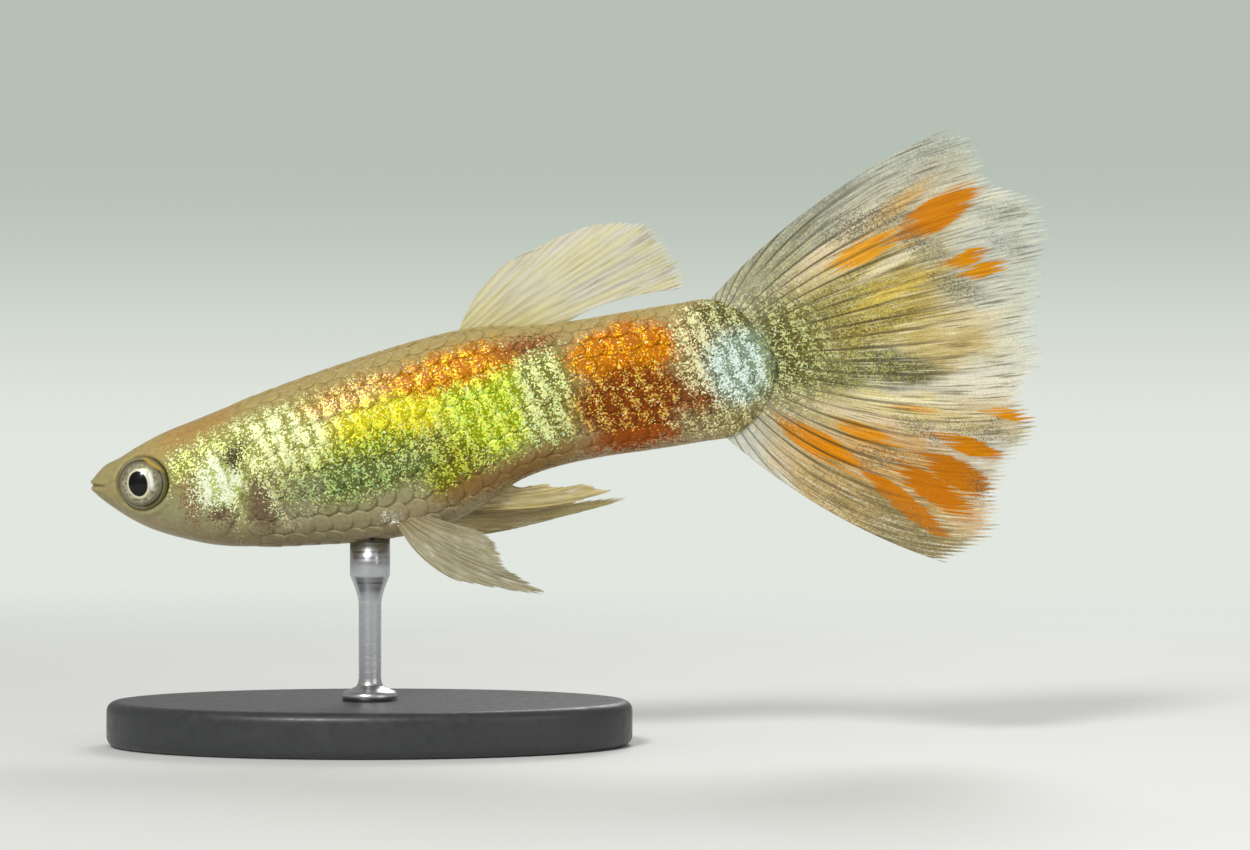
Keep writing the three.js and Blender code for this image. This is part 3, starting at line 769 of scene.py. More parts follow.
# %% [markdown]
# The eyeballs.
#
# The eye is a flattened ball turned a little forwards, with a low dome over the pupil. A whole sphere would
# do, but only the part that stands out of the socket shows, so the ball is built from the pupil round to
# just past its widest ring and then closed.

# %% Eye mesh
EYE_RINGS, EYE_SIDES = 60, 96
EYE_WRAP = math.pi * 0.62  # how far round from the pupil the ball is built
DOME_HEIGHT, DOME_RADIUS = 0.1, 0.55


def build_eye(name, side):
    """The side is -1 for the left eye and 1 for the right."""
    tilt = np.linspace(0, EYE_WRAP, EYE_RINGS)[:, None]
    turn = (np.arange(EYE_SIDES) * 2 * math.pi / EYE_SIDES)[None, :]
    radius = np.sin(tilt)
    sight = np.stack([radius * np.cos(turn), -np.cos(tilt) + 0 * turn, radius * np.sin(turn)], -1)
    x, y, z = np.moveaxis(sight * np.array([EYE["radius"], EYE["depth"], EYE["radius"]]), -1, 0)
    y = y - DOME_HEIGHT * np.exp(-((radius / DOME_RADIUS) ** 2))
    c, s = math.cos(EYE["turn"]), math.sin(EYE["turn"])
    turned = np.stack([x * c + y * s, -side * (-x * s + y * c), z], -1)
    points = (turned + np.array([EYE["x"], side * EYE["y"], EYE["z"]])).reshape(-1, 3)
    faces = grid_faces(EYE_RINGS, EYE_SIDES, closed=True, flip=side < 0).tolist()
    last = (EYE_RINGS - 1) * EYE_SIDES
    for j in range(EYE_SIDES):
        cap = [len(points), last + j, last + (j + 1) % EYE_SIDES]
        faces.append(cap[::-1] if side < 0 else cap)
    points = np.concatenate([points, points[-EYE_SIDES:].mean(0)[None]])
    sight = np.concatenate([sight.reshape(-1, 3), [[0, 0, 0]]])
    eye = make_piece(name + "_ball", points, faces, eye_material, "eye", sight=sight)
    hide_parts(name)


build_eye("eye_left", -1)
build_eye("eye_right", 1)

# %% [markdown]
# The shapes of the fins.
#
# A fin is a fan of bony rays with a clear membrane between them. It could be cut from a flat sheet, but a
# living fin is curved and rippled. So each fin is given by three lines, the root, the bend and the tip, and
# each ray is a curve from the first past the second to the third.

# %% Fin shapes
FIN_LINES = ("root", "bend", "tip")
FINS = {
    # how many rays, where they fork as shares of their length (2: never), the ripple's height, its number of
    # waves and its start, and the rows of points from root to tip
    "dorsal_fin": {
        "rays": 11, "forks": (0.5, 0.75), "ripple": (0.25, 1.2, 0.4), "rows": 90,
        "root": [(15.3, 0, 3.1), (16.6, 0, 2.95), (17.8, 0, 2.7), (18.9, 0, 2.5)],
        "bend": [(17.0, 0.05, 6.1), (18.4, 0.1, 6.0), (20.4, 0.1, 5.4), (20.9, 0.05, 3.9)],
        "tip": [(19.45, 0.1, 6.1), (21.2, 0.15, 6.65), (22.7, 0.2, 6.6), (23.8, 0.2, 6.25),
                (24.3, 0.15, 5.4), (24.7, 0.1, 4.5), (24.85, 0.05, 3.5)],
    },
    "tail_fin": {
        "rays": 26, "forks": (0.34, 0.62), "ripple": (0.45, 2.6, 0.6), "rows": 110,
        "root": [(25.1, 0, 2.45), (26.0, 0, 2.1), (26.7, 0, 1.25), (27.0, 0, 0.1), (26.7, 0, -1.15),
                 (26.0, 0, -1.95), (25.0, 0, -2.3)],
        "bend": [(30.0, 0.1, 6.45), (31.3, 0.2, 5.1), (32.3, 0.3, 2.6), (32.6, 0.3, -0.4),
                 (31.6, 0.2, -3.2), (30.0, 0.1, -5.3), (28.4, 0, -6.7)],
        "tip": [(36.3, 0.3, 7.95), (37.4, 0.4, 7.2), (37.7, 0.5, 5.5), (39.2, 0.6, 4.6), (39.6, 0.7, 3.4),
                (39.2, 0.8, 1.9), (38.8, 0.8, 0.6), (38.4, 0.8, -0.6), (38.3, 0.7, -1.9),
                (37.3, 0.6, -3.3), (37.7, 0.6, -4.5), (36.5, 0.5, -5.7), (35.7, 0.4, -6.9),
                (35.3, 0.3, -8.3), (33.0, 0.2, -9.15)],
    },
    "gonopodium": {
        "rays": 5, "forks": (2, 2), "ripple": (0, 1, 0), "rows": 60,
        "root": [(14.0, 0, -3.5), (14.7, 0, -3.3), (15.4, 0, -3.0), (16.2, 0, -2.6)],
        "bend": [(16.8, 0, -4.2), (17.2, 0, -3.85), (17.1, 0, -3.5), (16.6, 0, -3.3)],
        "tip": [(19.2, 0, -4.1), (20.35, 0, -3.92), (19.5, 0, -3.5), (18.3, 0, -3.4), (17.9, 0, -3.2),
                (17.2, 0, -3.15)],
    },
    "pelvic_fin_left": {
        "rays": 7, "forks": (0.3, 0.65), "ripple": (0, 1, 0), "rows": 80,
        "root": [(11.7, -0.95, -3.5), (12.1, -1.0, -3.45), (12.7, -1.05, -3.35)],
        "bend": [(12.3, -2.2, -5.3), (13.6, -2.6, -5.8), (13.9, -2.5, -5.0), (13.9, -2.1, -4.4),
                 (13.8, -1.8, -4.1)],
        "tip": [(13.9, -3.2, -6.3), (17.1, -4.6, -7.3), (15.9, -4.0, -6.1), (15.7, -3.2, -5.5),
                (15.5, -2.6, -5.0), (15.0, -2.1, -4.5)],
    },
    "pelvic_fin_right": {
        "rays": 7, "forks": (0.3, 0.65), "ripple": (0, 1, 0), "rows": 80,
        "root": [(11.7, 0.95, -3.5), (12.1, 1.0, -3.45), (12.7, 1.05, -3.35)],
        "bend": [(13.8, 1.6, -4.75), (15.1, 1.8, -4.8), (16.1, 1.9, -4.6), (15.3, 1.9, -4.2),
                 (14.6, 1.8, -3.9)],
        "tip": [(15.3, 1.8, -4.8), (16.9, 1.9, -4.75), (21.0, 1.9, -4.4), (18.6, 2.0, -4.1),
                (17.2, 2.0, -3.9), (16.2, 2.1, -3.7)],
    },
    "pectoral_fin_left": {
        "rays": 9, "forks": (0.5, 2), "ripple": (0, 1, 0), "rows": 60,
        "root": [(6.9, -1.9, -0.6), (6.95, -1.95, -0.95), (7.0, -1.9, -1.35)],
        "bend": [(8.3, -3.1, -0.7), (8.1, -3.4, -1.5), (7.5, -3.1, -2.1)],
        "tip": [(9.5, -4.0, -1.3), (9.6, -4.7, -2.0), (9.1, -4.9, -2.75), (8.4, -4.6, -3.2),
                (7.7, -3.9, -3.1)],
    },
}


def curve_through(rows, t):
    """A smooth curve through the rows, at each share t of the way."""
    p = np.array(rows, dtype=float)
    p = np.concatenate([[2 * p[0] - p[1]], p, [2 * p[-1] - p[-2]]])
    place = np.clip(t, 0, 1) * (len(rows) - 1)
    i = np.minimum(place.astype(int), len(rows) - 2)
    u = (place - i)[..., None]
    a, b, c, d = p[i], p[i + 1], p[i + 2], p[i + 3]
    return 0.5 * (2 * b + (c - a) * u + (2 * a - 5 * b + 4 * c - d) * u**2 + (3 * b - a - 3 * c + d) * u**3)


def mirrored(fin):
    """The same fin on the fish's other side."""
    return {**fin, **{line: [(x, -y, z) for x, y, z in fin[line]] for line in FIN_LINES}}


FINS["pectoral_fin_right"] = mirrored(FINS["pectoral_fin_left"])
print("fins:", len(FINS), "with", sum(fin["rays"] for fin in FINS.values()), "rays")


# %% [markdown]
# The run of the rays.
#
# Rays spread from a hub inside the body, stand out of the membrane on both of its faces, and fork on their
# way out. Each could be a thin tube of its own. A wave across the fin gives the same ridges in one mesh, and
# the number of the ray at a point also tells the materials how to draw streaks along it.

# %% Rays
def ray_crest(ray, v, forks):
    """1 on the crest of a ray and 0 between rays. Past each fork the rays are twice as many."""
    one = 0.5 + 0.5 * np.cos(2 * math.pi * ray)
    two = 0.5 - 0.5 * np.cos(4 * math.pi * ray)
    four = 0.5 - 0.5 * np.cos(8 * math.pi * ray)
    first, second = smooth(forks[0], forks[0] + 0.2, v), smooth(forks[1], forks[1] + 0.2, v)
    return (one * (1 - first) + two * first) * (1 - second) + four * second


HUBS = {
    # hub, reach in mm, slopes of the lowest and highest ray, share of its slope that a ray loses in a mm
    "tail_fin": ((25.2, 0.8), 14.5, -92, 64, 0.035),
    "dorsal_fin": ((12.8, 1.6), 12.6, 7, 41, 0.0),
}


def hub_rays(name, points, rays):
    """The number of the ray that each point lies on, how far out it is, and the ray's direction there."""
    (hub_x, hub_z), longest, lowest, highest, curl = HUBS[name]
    x, z = points[..., 0] - hub_x, points[..., 2] - hub_z
    reach = np.hypot(x, z)
    slope = np.degrees(np.arctan2(z, x)) / (1 - curl * np.minimum(reach, longest))
    return rays * (slope - lowest) / (highest - lowest), reach / longest, np.stack([x, 0 * x, z], -1)


# %% [markdown]
# Streaks along the rays.
#
# A fin's membrane is full of fine lines that run with the rays, and its outer edge is frayed. Cutting the
# fray into the mesh would take very many faces. One group stretches noise along the rays instead. The thin
# noise gives the hairs, the broad noise gives the streaks, and a third one says where the fin ends.

# %% Streak group
def build_streak_group():
    """Broad streaks, fine hairs, and a mask that ends the fin in a frayed edge."""
    inputs = [("Fan", "Vector", None), ("Reach", "Float", 0.5), ("Crest", "Float", 0.5)]
    outputs = [(label, "Float") for label in ("Streak", "Hair", "Edge")]
    tree, g, given, result = new_group("streaks", inputs, outputs)
    streak = g.noise(g.vector("MULTIPLY", given["Fan"], (1.8, 0.35, 1.0)), 1.0, 3.0)
    hair = g.noise(g.vector("MULTIPLY", given["Fan"], (9.0, 0.8, 1.0)), 1.0, 3.0)
    ends = g.noise(g.vector("MULTIPLY", given["Fan"], (5.0, 0.05, 1.0)), 1.0, 2.0)
    longest = g.plus(0.9, g.times(ends, 0.09))
    longest = g.plus(longest, g.times(given["Crest"], 0.06))
    g.put(streak, result["Streak"])
    g.put(hair, result["Hair"])
    g.put(g.step(g.minus(given["Reach"], longest), -0.03, 0.01, 1.0, 0.0), result["Edge"])
    return tree


streak_group = build_streak_group()


def fin_graph(name):
    """The start of a fin's material, with the values that every fin reads."""
    material, g, shader = new_material(name, Roughness=0.5, Specular_IOR_Level=0.1)
    crest, reach = g.value("crest", "Fac"), g.value("reach", "Fac")
    streaks = g.group(streak_group, {"Fan": g.value("fan"), "Reach": reach, "Crest": crest})
    height = g.plus(g.times(streaks["Hair"], 0.8), g.times(crest, 0.5))
    g.put(g.add("Bump", {"Height": height, "Strength": 0.25, "Distance": 0.03 * MM}), shader["Normal"])
    return material, g, shader, crest, reach, streaks


# %% [markdown]
# The clear fins.
#
# All the fins but the tail are a clear membrane with little colour. Glass would bend the light like a thick
# pane, so the membrane is plain matte colour made partly see-through with alpha. In life the side fins beat
# all the time and hardly show, so theirs is the faintest.

# %% Clear fin materials
def build_fin_material(name, root_colour, web, other_web, ray_colour, web_alpha, ray_alpha):
    """A clear membrane in two tints, darker at its root, with paler rays and dark hairs."""
    material, g, shader, crest, reach, streaks = fin_graph(name)
    colour = g.mix(g.step(streaks["Streak"], 0.38, 0.62), rgb(*web), rgb(*other_web))
    colour = g.mix(g.step(reach, 0.0, 0.45, 0.8, 0.0), colour, rgb(*root_colour))
    colour = g.mix(g.times(crest, 0.25), colour, rgb(*ray_colour))
    colour = g.mix(g.step(streaks["Hair"], 0.45, 0.3, 0.0, 0.5), colour, rgb(246, 242, 226))
    colour = g.mix(g.step(streaks["Hair"], 0.53, 0.72, 0.0, 0.6), colour, rgb(120, 112, 84))
    colour = g.mix(g.step(streaks["Streak"], 0.56, 0.75, 0.0, 0.4), colour, rgb(150, 136, 104))
    alpha = g.blend(crest, web_alpha, ray_alpha)
    alpha = g.plus(alpha, g.step(streaks["Hair"], 0.3, 0.7, -0.15, 0.15))
    g.put(colour, shader["Base Color"])
    g.put(g.times(alpha, streaks["Edge"], clamp=True), shader["Alpha"])
    return material


dorsal_material = build_fin_material("dorsal fin", root_colour=(214, 200, 112), web=(220, 212, 164),
                                     other_web=(214, 208, 190), ray_colour=(236, 232, 206),
                                     web_alpha=0.68, ray_alpha=0.82)
pelvic_material = build_fin_material("pelvic fin", root_colour=(158, 144, 104), web=(166, 156, 124),
                                     other_web=(150, 142, 112), ray_colour=(198, 188, 148),
                                     web_alpha=0.7, ray_alpha=0.88)
anal_material = build_fin_material("anal fin", root_colour=(186, 164, 104), web=(200, 182, 120),
                                   other_web=(180, 162, 108), ray_colour=(226, 212, 150),
                                   web_alpha=0.75, ray_alpha=0.92)
side_material = build_fin_material("side fin", root_colour=(190, 178, 140), web=(206, 200, 176),
                                   other_web=(196, 186, 160), ray_colour=(216, 206, 170),
                                   web_alpha=0.02, ray_alpha=0.11)

# %% [markdown]
# The colours of the tail.
#
# The tail is painted in layers, as a watercolour is: broad washes of cream and olive first, then streaks
# along the rays, then the orange patches, and last the dark specks. Each stroke is one soft ellipse with its
# own colour and strength, so a stroke can be moved without touching the others.

# %% Tail colours
TAIL_WASHES = [
    # middle, half sizes, turn, softness, colour, strength, as in the three lists after it
    ((29.8, 4.9), (3.8, 0.8), 27, 0.5, (168, 170, 150), 0.7),
    ((33.6, 4.2), (3.4, 1.6), 28, 0.6, (214, 192, 140), 0.75),
    ((36.8, -0.8), (1.8, 2.6), 0, 0.6, (228, 226, 204), 0.6),
    ((31.6, -5.4), (4.6, 2.2), -38, 0.5, (222, 166, 80), 0.92),
    ((32.1, -8.1), (5.0, 1.25), -42, 0.5, (166, 148, 98), 0.88),
    ((35.4, -3.6), (2.4, 1.0), -20, 0.6, (224, 196, 138), 0.8),
    ((31.6, -2.6), (3.4, 0.8), -16, 0.5, (232, 210, 138), 0.9),
    ((34.6, -0.4), (1.9, 1.4), 0, 0.5, (204, 172, 78), 0.82),
    ((31.6, 1.3), (4.0, 1.8), 14, 0.5, (190, 160, 58), 0.95),
    ((29.6, 0.9), (2.2, 2.8), 0, 0.7, (128, 116, 50), 0.85),
    ((30.8, -0.9), (3.4, 0.7), -8, 0.4, (100, 102, 62), 0.95),
    ((33.0, -1.4), (1.1, 0.5), -10, 0.5, (88, 84, 52), 0.85),
    ((30.9, 3.4), (2.3, 0.75), 28, 0.5, (242, 216, 168), 0.85),
    ((28.8, -5.2), (2.4, 1.1), -52, 0.5, (232, 196, 128), 0.75),
]
TAIL_STREAKS = [
    ((30.4, 3.9), (2.4, 0.35), 30, 0.4, (236, 212, 186), 0.8),
    ((33.0, 3.0), (1.7, 0.25), 20, 0.4, (244, 232, 200), 0.8),
    ((33.4, 2.0), (2.6, 0.22), 15, 0.4, (232, 196, 84), 0.7),
    ((35.6, 0.2), (1.6, 0.3), 3, 0.5, (238, 224, 180), 0.7),
    ((31.6, 0.7), (2.6, 0.25), 6, 0.5, (128, 104, 44), 0.6),
    ((30.4, 2.4), (2.6, 0.2), 22, 0.5, (112, 92, 40), 0.6),
    ((30.0, -2.4), (2.2, 0.32), -22, 0.4, (240, 218, 190), 0.8),
    ((32.4, -2.5), (2.4, 0.22), -15, 0.4, (248, 238, 200), 0.85),
    ((36.0, -2.5), (1.7, 0.5), -8, 0.5, (240, 234, 212), 0.8),
    ((30.2, -5.6), (2.4, 0.25), -48, 0.5, (150, 116, 66), 0.4),
    ((33.9, 5.4), (1.4, 0.3), 28, 0.5, (236, 176, 84), 0.7),
    ((33.2, -3.0), (1.0, 0.16), -18, 0.5, (230, 148, 30), 0.8),
]
TAIL_ORANGES = [
    ((32.1, 3.72), (1.4, 0.45), 15, 0.3, (228, 158, 36), 1.0),
    ((35.2, 4.65), (1.7, 0.65), 22, 0.3, (204, 124, 0), 1.0),
    ((36.1, 2.7), (0.7, 0.34), 8, 0.4, (222, 144, 4), 1.0),
    ((36.6, 2.1), (0.8, 0.3), 5, 0.4, (222, 146, 8), 1.0),
    ((28.8, -3.5), (1.8, 0.5), -40, 0.3, (222, 138, 0), 1.0),
    ((30.8, -3.55), (1.2, 0.36), -34, 0.4, (224, 144, 2), 0.95),
    ((36.9, -3.9), (1.0, 0.24), -18, 0.4, (222, 142, 2), 1.0),
    ((34.9, -4.8), (1.3, 0.36), -27, 0.35, (210, 130, 0), 1.0),
    ((34.2, -5.8), (1.45, 0.55), -38, 0.3, (192, 112, 0), 1.0),
    ((33.1, -6.2), (1.6, 0.52), -43, 0.3, (194, 112, 0), 1.0),
    ((31.9, -6.6), (1.9, 0.4), -50, 0.3, (202, 120, 0), 1.0),
]
TAIL_SPECKS = [
    ((32.4, 4.75), (1.9, 0.45), 8, 0.5, (92, 92, 76), 0.9),
    ((34.5, 3.5), (1.2, 0.35), -45, 0.5, (108, 110, 92), 0.85),
    ((35.7, 1.6), (1.2, 0.32), -30, 0.5, (100, 102, 88), 0.85),
    ((38.0, 3.0), (0.8, 0.2), -25, 0.5, (112, 118, 104), 0.7),
    ((37.9, 4.3), (1.2, 0.3), 5, 0.6, (110, 116, 100), 0.6),
    ((35.5, 6.9), (2.2, 0.9), 20, 0.6, (118, 122, 104), 0.5),
    ((29.8, 5.0), (3.6, 0.7), 30, 0.5, (104, 106, 86), 0.5),
    ((35.5, -4.15), (1.4, 0.22), -22, 0.5, (104, 100, 80), 0.85),
    ((33.2, -3.85), (1.1, 0.22), -30, 0.5, (100, 96, 74), 0.85),
    ((31.4, -4.6), (1.3, 0.3), -17, 0.5, (110, 98, 70), 0.8),
    ((35.2, -6.5), (0.8, 0.25), -55, 0.5, (104, 96, 76), 0.8),
    ((31.2, -7.4), (4.2, 1.0), -42, 0.5, (104, 94, 64), 0.6),
]


def strokes(g, place, table):
    """The mask, the colour and the strength of each stroke."""
    for middle, size, turn, softness, colour, strength in table:
        yield patch(g, place, middle, size, turn, softness), rgb(*colour), strength


print("strokes on the tail:", sum(map(len, (TAIL_WASHES, TAIL_STREAKS, TAIL_ORANGES, TAIL_SPECKS))))


# %% [markdown]
# The tail's finish.
#
# The body's glitter runs out over the root of the tail and thins to single specks. The orange patches are
# opaque and ragged along the rays, and the web between them is half clear. The layers could be materials of
# their own on stacked sheets, but sheets this close would flicker, so one material holds them all.

# %% Tail washes and patches
def wash_web(g, place, drift, hair, crest):
    """The bare web, the washes over it, and its pale hairs."""
    colour, alpha = rgb(228, 230, 216), g.blend(crest, 0.46, 0.6)
    soft_place = g.vector("ADD", place, g.vector("MULTIPLY", drift, (1.6, 0, 1.6)))
    for mask, tone, strength in strokes(g, soft_place, TAIL_WASHES):
        mask = g.times(mask, strength)
        colour = g.mix(mask, colour, tone)
        alpha = g.blend(mask, alpha, 0.88)
    return g.mix(g.step(hair, 0.47, 0.34, 0.0, 0.75), colour, rgb(252, 246, 218)), alpha


def paint_patches(g, place, hair, colour, alpha):
    """The streaks and the orange patches, with a mask of what the patches cover."""
    for mask, tone, strength in strokes(g, place, TAIL_STREAKS):
        mask = g.times(g.times(mask, strength), g.step(hair, 0.25, 0.5, 0.55, 1.0))
        colour = g.mix(mask, colour, tone)
        alpha = g.blend(mask, alpha, 1.0)
    painted = 0.0
    fray = g.times(g.minus(hair, 0.5), -1.5)
    for mask, tone, strength in strokes(g, place, TAIL_ORANGES):
        mask = g.times(g.step(g.plus(mask, fray), 0.32, 0.68), strength)
        colour = g.mix(mask, colour, tone)
        painted = g.math("MAXIMUM", painted, mask)
    return colour, g.blend(painted, alpha, 1.0), painted


def dot_specks(g, flakes, drift, bare, colour, alpha):
    """Dark specks: a few everywhere on the bare web, and more of them in the strokes."""
    dots = g.step(flakes["Chance"], 0.3, 0.65)
    colour = g.mix(g.times(dots, g.times(bare, 0.18)), colour, rgb(98, 94, 74))
    place = g.vector("ADD", flakes["Cell"], g.vector("MULTIPLY", drift, (1.0, 0, 1.0)))
    for mask, tone, strength in strokes(g, place, TAIL_SPECKS):
        mask = g.times(g.times(mask, strength), g.plus(0.3, g.times(dots, 0.7)))
        colour = g.mix(mask, colour, tone)
        alpha = g.blend(mask, alpha, 0.9)
    return colour, alpha


# %% Tail material
def build_tail_material():
    material, g, shader, crest, reach, streaks = fin_graph("tail fin")
    place, fan, way, hair = g.value("fish"), g.value("fan"), g.value("way"), streaks["Hair"]
    drift = g.vector("SUBTRACT", g.noise(place, 0.8, 3.0, "Color"), (0.5, 0.5, 0.5))
    colour, alpha = wash_web(g, place, drift, hair, crest)
    slide = g.noise(g.vector("MULTIPLY", fan, (7.0, 0.25, 1.0)), 1.0, 3.0)
    slide = g.times(g.minus(slide, 0.5), 5.0)
    slid = g.vector("ADD", place, g.scaled(way, slide))
    colour, alpha, painted = paint_patches(g, slid, hair, colour, alpha)
    bare = g.minus(1.0, painted)
    # Dark lines run between the rays, and dark hairs over the web and the patches.
    pleat = g.math("COSINE", g.times(g.add("SeparateXYZ", {"Vector": fan}), 2 * math.pi))
    lines = g.times(g.step(pleat, -0.6, -1.0), g.step(streaks["Streak"], 0.35, 0.55, 0.45, 1.0))
    near = g.step(reach, 0.35, 0.8, 0.9, 0.1)
    colour = g.mix(g.times(lines, near), colour, rgb(84, 70, 34))
    hairs = g.step(hair, 0.52, 0.66, 0.0, 0.7)
    colour = g.mix(g.times(hairs, bare), colour, rgb(98, 88, 58))
    colour = g.mix(g.times(hairs, painted), colour, rgb(176, 96, 0))
    flakes = g.group(flake_group, {"Place": place, "Cells per mm": 20.0, "Scatter": 0.7})
    colour, alpha = dot_specks(g, flakes, drift, bare, colour, alpha)
    # The glitter comes out from the body and thins to single specks.
    stretched = g.scaled(way, g.times(g.minus(hair, 0.5), 5.0))
    core = patch(g, g.vector("ADD", place, stretched), (29.6, 0.9), (4.4, 3.6), 0, 0.5)
    open_web = g.minus(1.0, g.times(lines, 0.85))
    sheen = g.times(g.step(flakes["Third"], 0.5, 0.8), g.plus(0.1, g.times(core, 0.42)))
    sheen = g.times(sheen, g.times(open_web, g.plus(0.3, g.times(bare, 0.7))))
    colour = g.mix(sheen, colour, rgb(240, 232, 124))
    root = patch(g, g.vector("ADD", flakes["Cell"], stretched), (27.5, 0.4), (2.5, 2.6), 0, 0.8)
    glitter = g.group(glitter_group, {"Place": place, "Cells per mm": CELLS_PER_MM, "Rise": 0.5})
    colour = g.mix(g.times(root, open_web), colour, glitter["Color"])
    alpha = g.blend(root, alpha, 1.0)
    g.put(colour, shader["Base Color"])
    g.put(g.times(alpha, streaks["Edge"], clamp=True), shader["Alpha"])
    return material


tail_material = build_tail_material()


# %% [markdown]
# The fins.
#
# Each fin is a thin closed blade: two faces on either side of a middle sheet, and a band round the rim. The
# Solidify modifier could thicken a sheet, but it gives every point the same thickness. Here the blade is
# thicker on the crest of each ray and thins towards the tip.

# %% Fin mesh
RAY_SAMPLES = 16  # points across each ray
THINNING = 0.6  # share of its thickness that a fin loses at its tip


def fin_sheet(fin):
    """Each point's share of the way across and out, and its place on the fin's middle sheet."""
    u = np.linspace(0, 1, fin["rays"] * RAY_SAMPLES + 1)[:, None]
    v = np.linspace(0, 1, fin["rows"] + 1)[None, :]
    u, v = np.broadcast_arrays(u, v)
    root, bend, tip = (curve_through(fin[line], u) for line in FIN_LINES)
    t = v[..., None]
    sheet = (1 - t) ** 2 * root + 2 * t * (1 - t) * bend + t**2 * tip
    height, waves, start = fin["ripple"]
    sheet[..., 1] += height * v**2 * np.sin(2 * math.pi * waves * u + start)
    return u, v, sheet


def middle_ray(sheet):
    """From the root to the tip, half way across the fin."""
    half = len(sheet) // 2
    return sheet[half, -1] - sheet[half, 0]


def fin_rays(name, u, v, sheet):
    """The number of the ray that each point lies on, how far out it is, and the ray's direction there."""
    rays = FINS[name]["rays"]
    if name in HUBS:
        return hub_rays(name, sheet, rays)
    turn = 2 * math.pi * u * rays
    uneven = u * rays + 0.12 * np.sin(0.37 * turn) + 0.08 * np.sin(0.83 * turn)
    return uneven, v, np.broadcast_to(middle_ray(sheet), sheet.shape)


def build_fin(name, material, slot, thickness=0.09, ridge=0.05):
    u, v, sheet = fin_sheet(FINS[name])
    ray, out, way = fin_rays(name, u, v, sheet)
    way = way / np.linalg.norm(way, axis=-1, keepdims=True)
    crest = ray_crest(ray, out, FINS[name]["forks"])
    facing = np.cross(sheet[-1, -1] - sheet[0, -1], middle_ray(sheet))
    facing /= np.linalg.norm(facing)
    half = (thickness / 2 + ridge * crest) * (1 - THINNING * v**3)
    sides = [sheet + facing * half[..., None], sheet - facing * half[..., None]]
    points = np.concatenate([side.reshape(-1, 3) for side in sides])
    size = crest.size
    quads = [grid_faces(*crest.shape, flip=True), grid_faces(*crest.shape, first=size)]
    at = np.arange(size).reshape(crest.shape)
    rim = np.concatenate([at[:-1, 0], at[-1, :-1], at[:0:-1, -1], at[0, :0:-1]])
    after = np.roll(rim, -1)
    quads.append(np.stack([rim, rim + size, after + size, after], -1))
    fan = np.stack([ray, out * 10, np.zeros_like(out)], -1).reshape(-1, 3)
    values = {"fan": fan, "way": way.reshape(-1, 3), "crest": crest.ravel(), "reach": v.ravel()}
    values = {label: np.concatenate([value, value]) for label, value in values.items()}
    piece = make_piece(name + "_blade", points, np.concatenate(quads), material, slot, **values)
    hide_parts(name)


build_fin("tail_fin", tail_material, "tail_fin", ridge=0.035)
build_fin("dorsal_fin", dorsal_material, "clear_fin", ridge=0.03)
build_fin("gonopodium", anal_material, "clear_fin")
build_fin("pelvic_fin_left", pelvic_material, "clear_fin")
# The right pelvic fin takes the paler anal fin colour: painted light that lifts the shade it lies in behind
# the body.
build_fin("pelvic_fin_right", anal_material, "clear_fin")
build_fin("pectoral_fin_left", side_material, "clear_fin", thickness=0.05, ridge=0.03)
build_fin("pectoral_fin_right", side_material, "clear_fin", thickness=0.05, ridge=0.03)

# %% [markdown]
# The finish of the stand.
#
# The stand is plain on purpose: a satin black oval base and a thin brushed rod. Its finishes could be single
# flat values, but even a plain surface has a little grain. A fine noise breaks up the black, and noise that
# is stretched flat gives the rod the rings that brushing leaves.

# %% Stand materials
def build_base_material():
    material, g, shader = new_material("satin base", Coat_Weight=0.15, Coat_Roughness=0.25)
    place = g.add("TexCoord", output="Object")
    grain = g.noise(place, 2600.0, 5.0)
    g.put(g.mix(grain, rgb(34, 35, 37), rgb(56, 57, 60)), shader["Base Color"])
    g.put(g.step(grain, 0.3, 0.7, 0.38, 0.55), shader["Roughness"])
    g.put(g.add("Bump", {"Height": grain, "Strength": 0.15, "Distance": 0.05 * MM}), shader["Normal"])
    return material


def build_rod_material():
    material, g, shader = new_material("brushed rod", Metallic=1.0)
    place = g.add("TexCoord", output="Object")
    rings = g.noise(g.vector("MULTIPLY", place, (200, 200, 9000)), 1.0, 3.0)
    g.put(g.mix(rings, rgb(176, 178, 182), rgb(214, 215, 218)), shader["Base Color"])
    g.put(g.step(rings, 0.3, 0.7, 0.22, 0.4), shader["Roughness"])
    g.put(g.add("Bump", {"Height": rings, "Strength": 0.1, "Distance": 0.01 * MM}), shader["Normal"])
    return material


# %% [markdown]
# The display stand.
#
# The stand carries the fish in place of the water. Its two pieces could be cylinders with a bevel modifier,
# but the rod's pad has to be cut to the belly. So both are stacks of oval rings, and the top rings of the
# pad look straight up to find the skin above each of their points.

# %% Stand meshes
BASE_LENGTH, BASE_WIDTH, BASE_HEIGHT, BASE_EDGE = 21.0, 13.0, 1.8, 0.4
ROD_RADIUS, ROD_FOOT_RADIUS, ROD_PAD_RADIUS = 0.45, 1.1, 0.8
ROD_TOP = 8.0  # above the belly: the top rings are then brought down to it
ROD_TOP_RINGS = 3
ROD_GAP = 0.02  # between the pad and the skin
STAND_SIDES = 128


def oval_rings(rings, half_length, half_width):
    """Rings from the bottom up: each is how far in from the rim it lies, and its height."""
    turn = np.arange(STAND_SIDES) * 2 * math.pi / STAND_SIDES
    points = []
    for inset, height in rings:
        long, wide = max(half_length - inset, 0.001), max(half_width - inset, 0.001)
        points.append(np.stack([long * np.cos(turn), wide * np.sin(turn), 0 * turn + height], -1))
    return np.concatenate(points)


def build_stand_piece(name, points, material):
    faces = grid_faces(len(points) // STAND_SIDES, STAND_SIDES, closed=True)
    piece = place_piece(name + "_look", points * MM, faces, material, name)
    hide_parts(name)


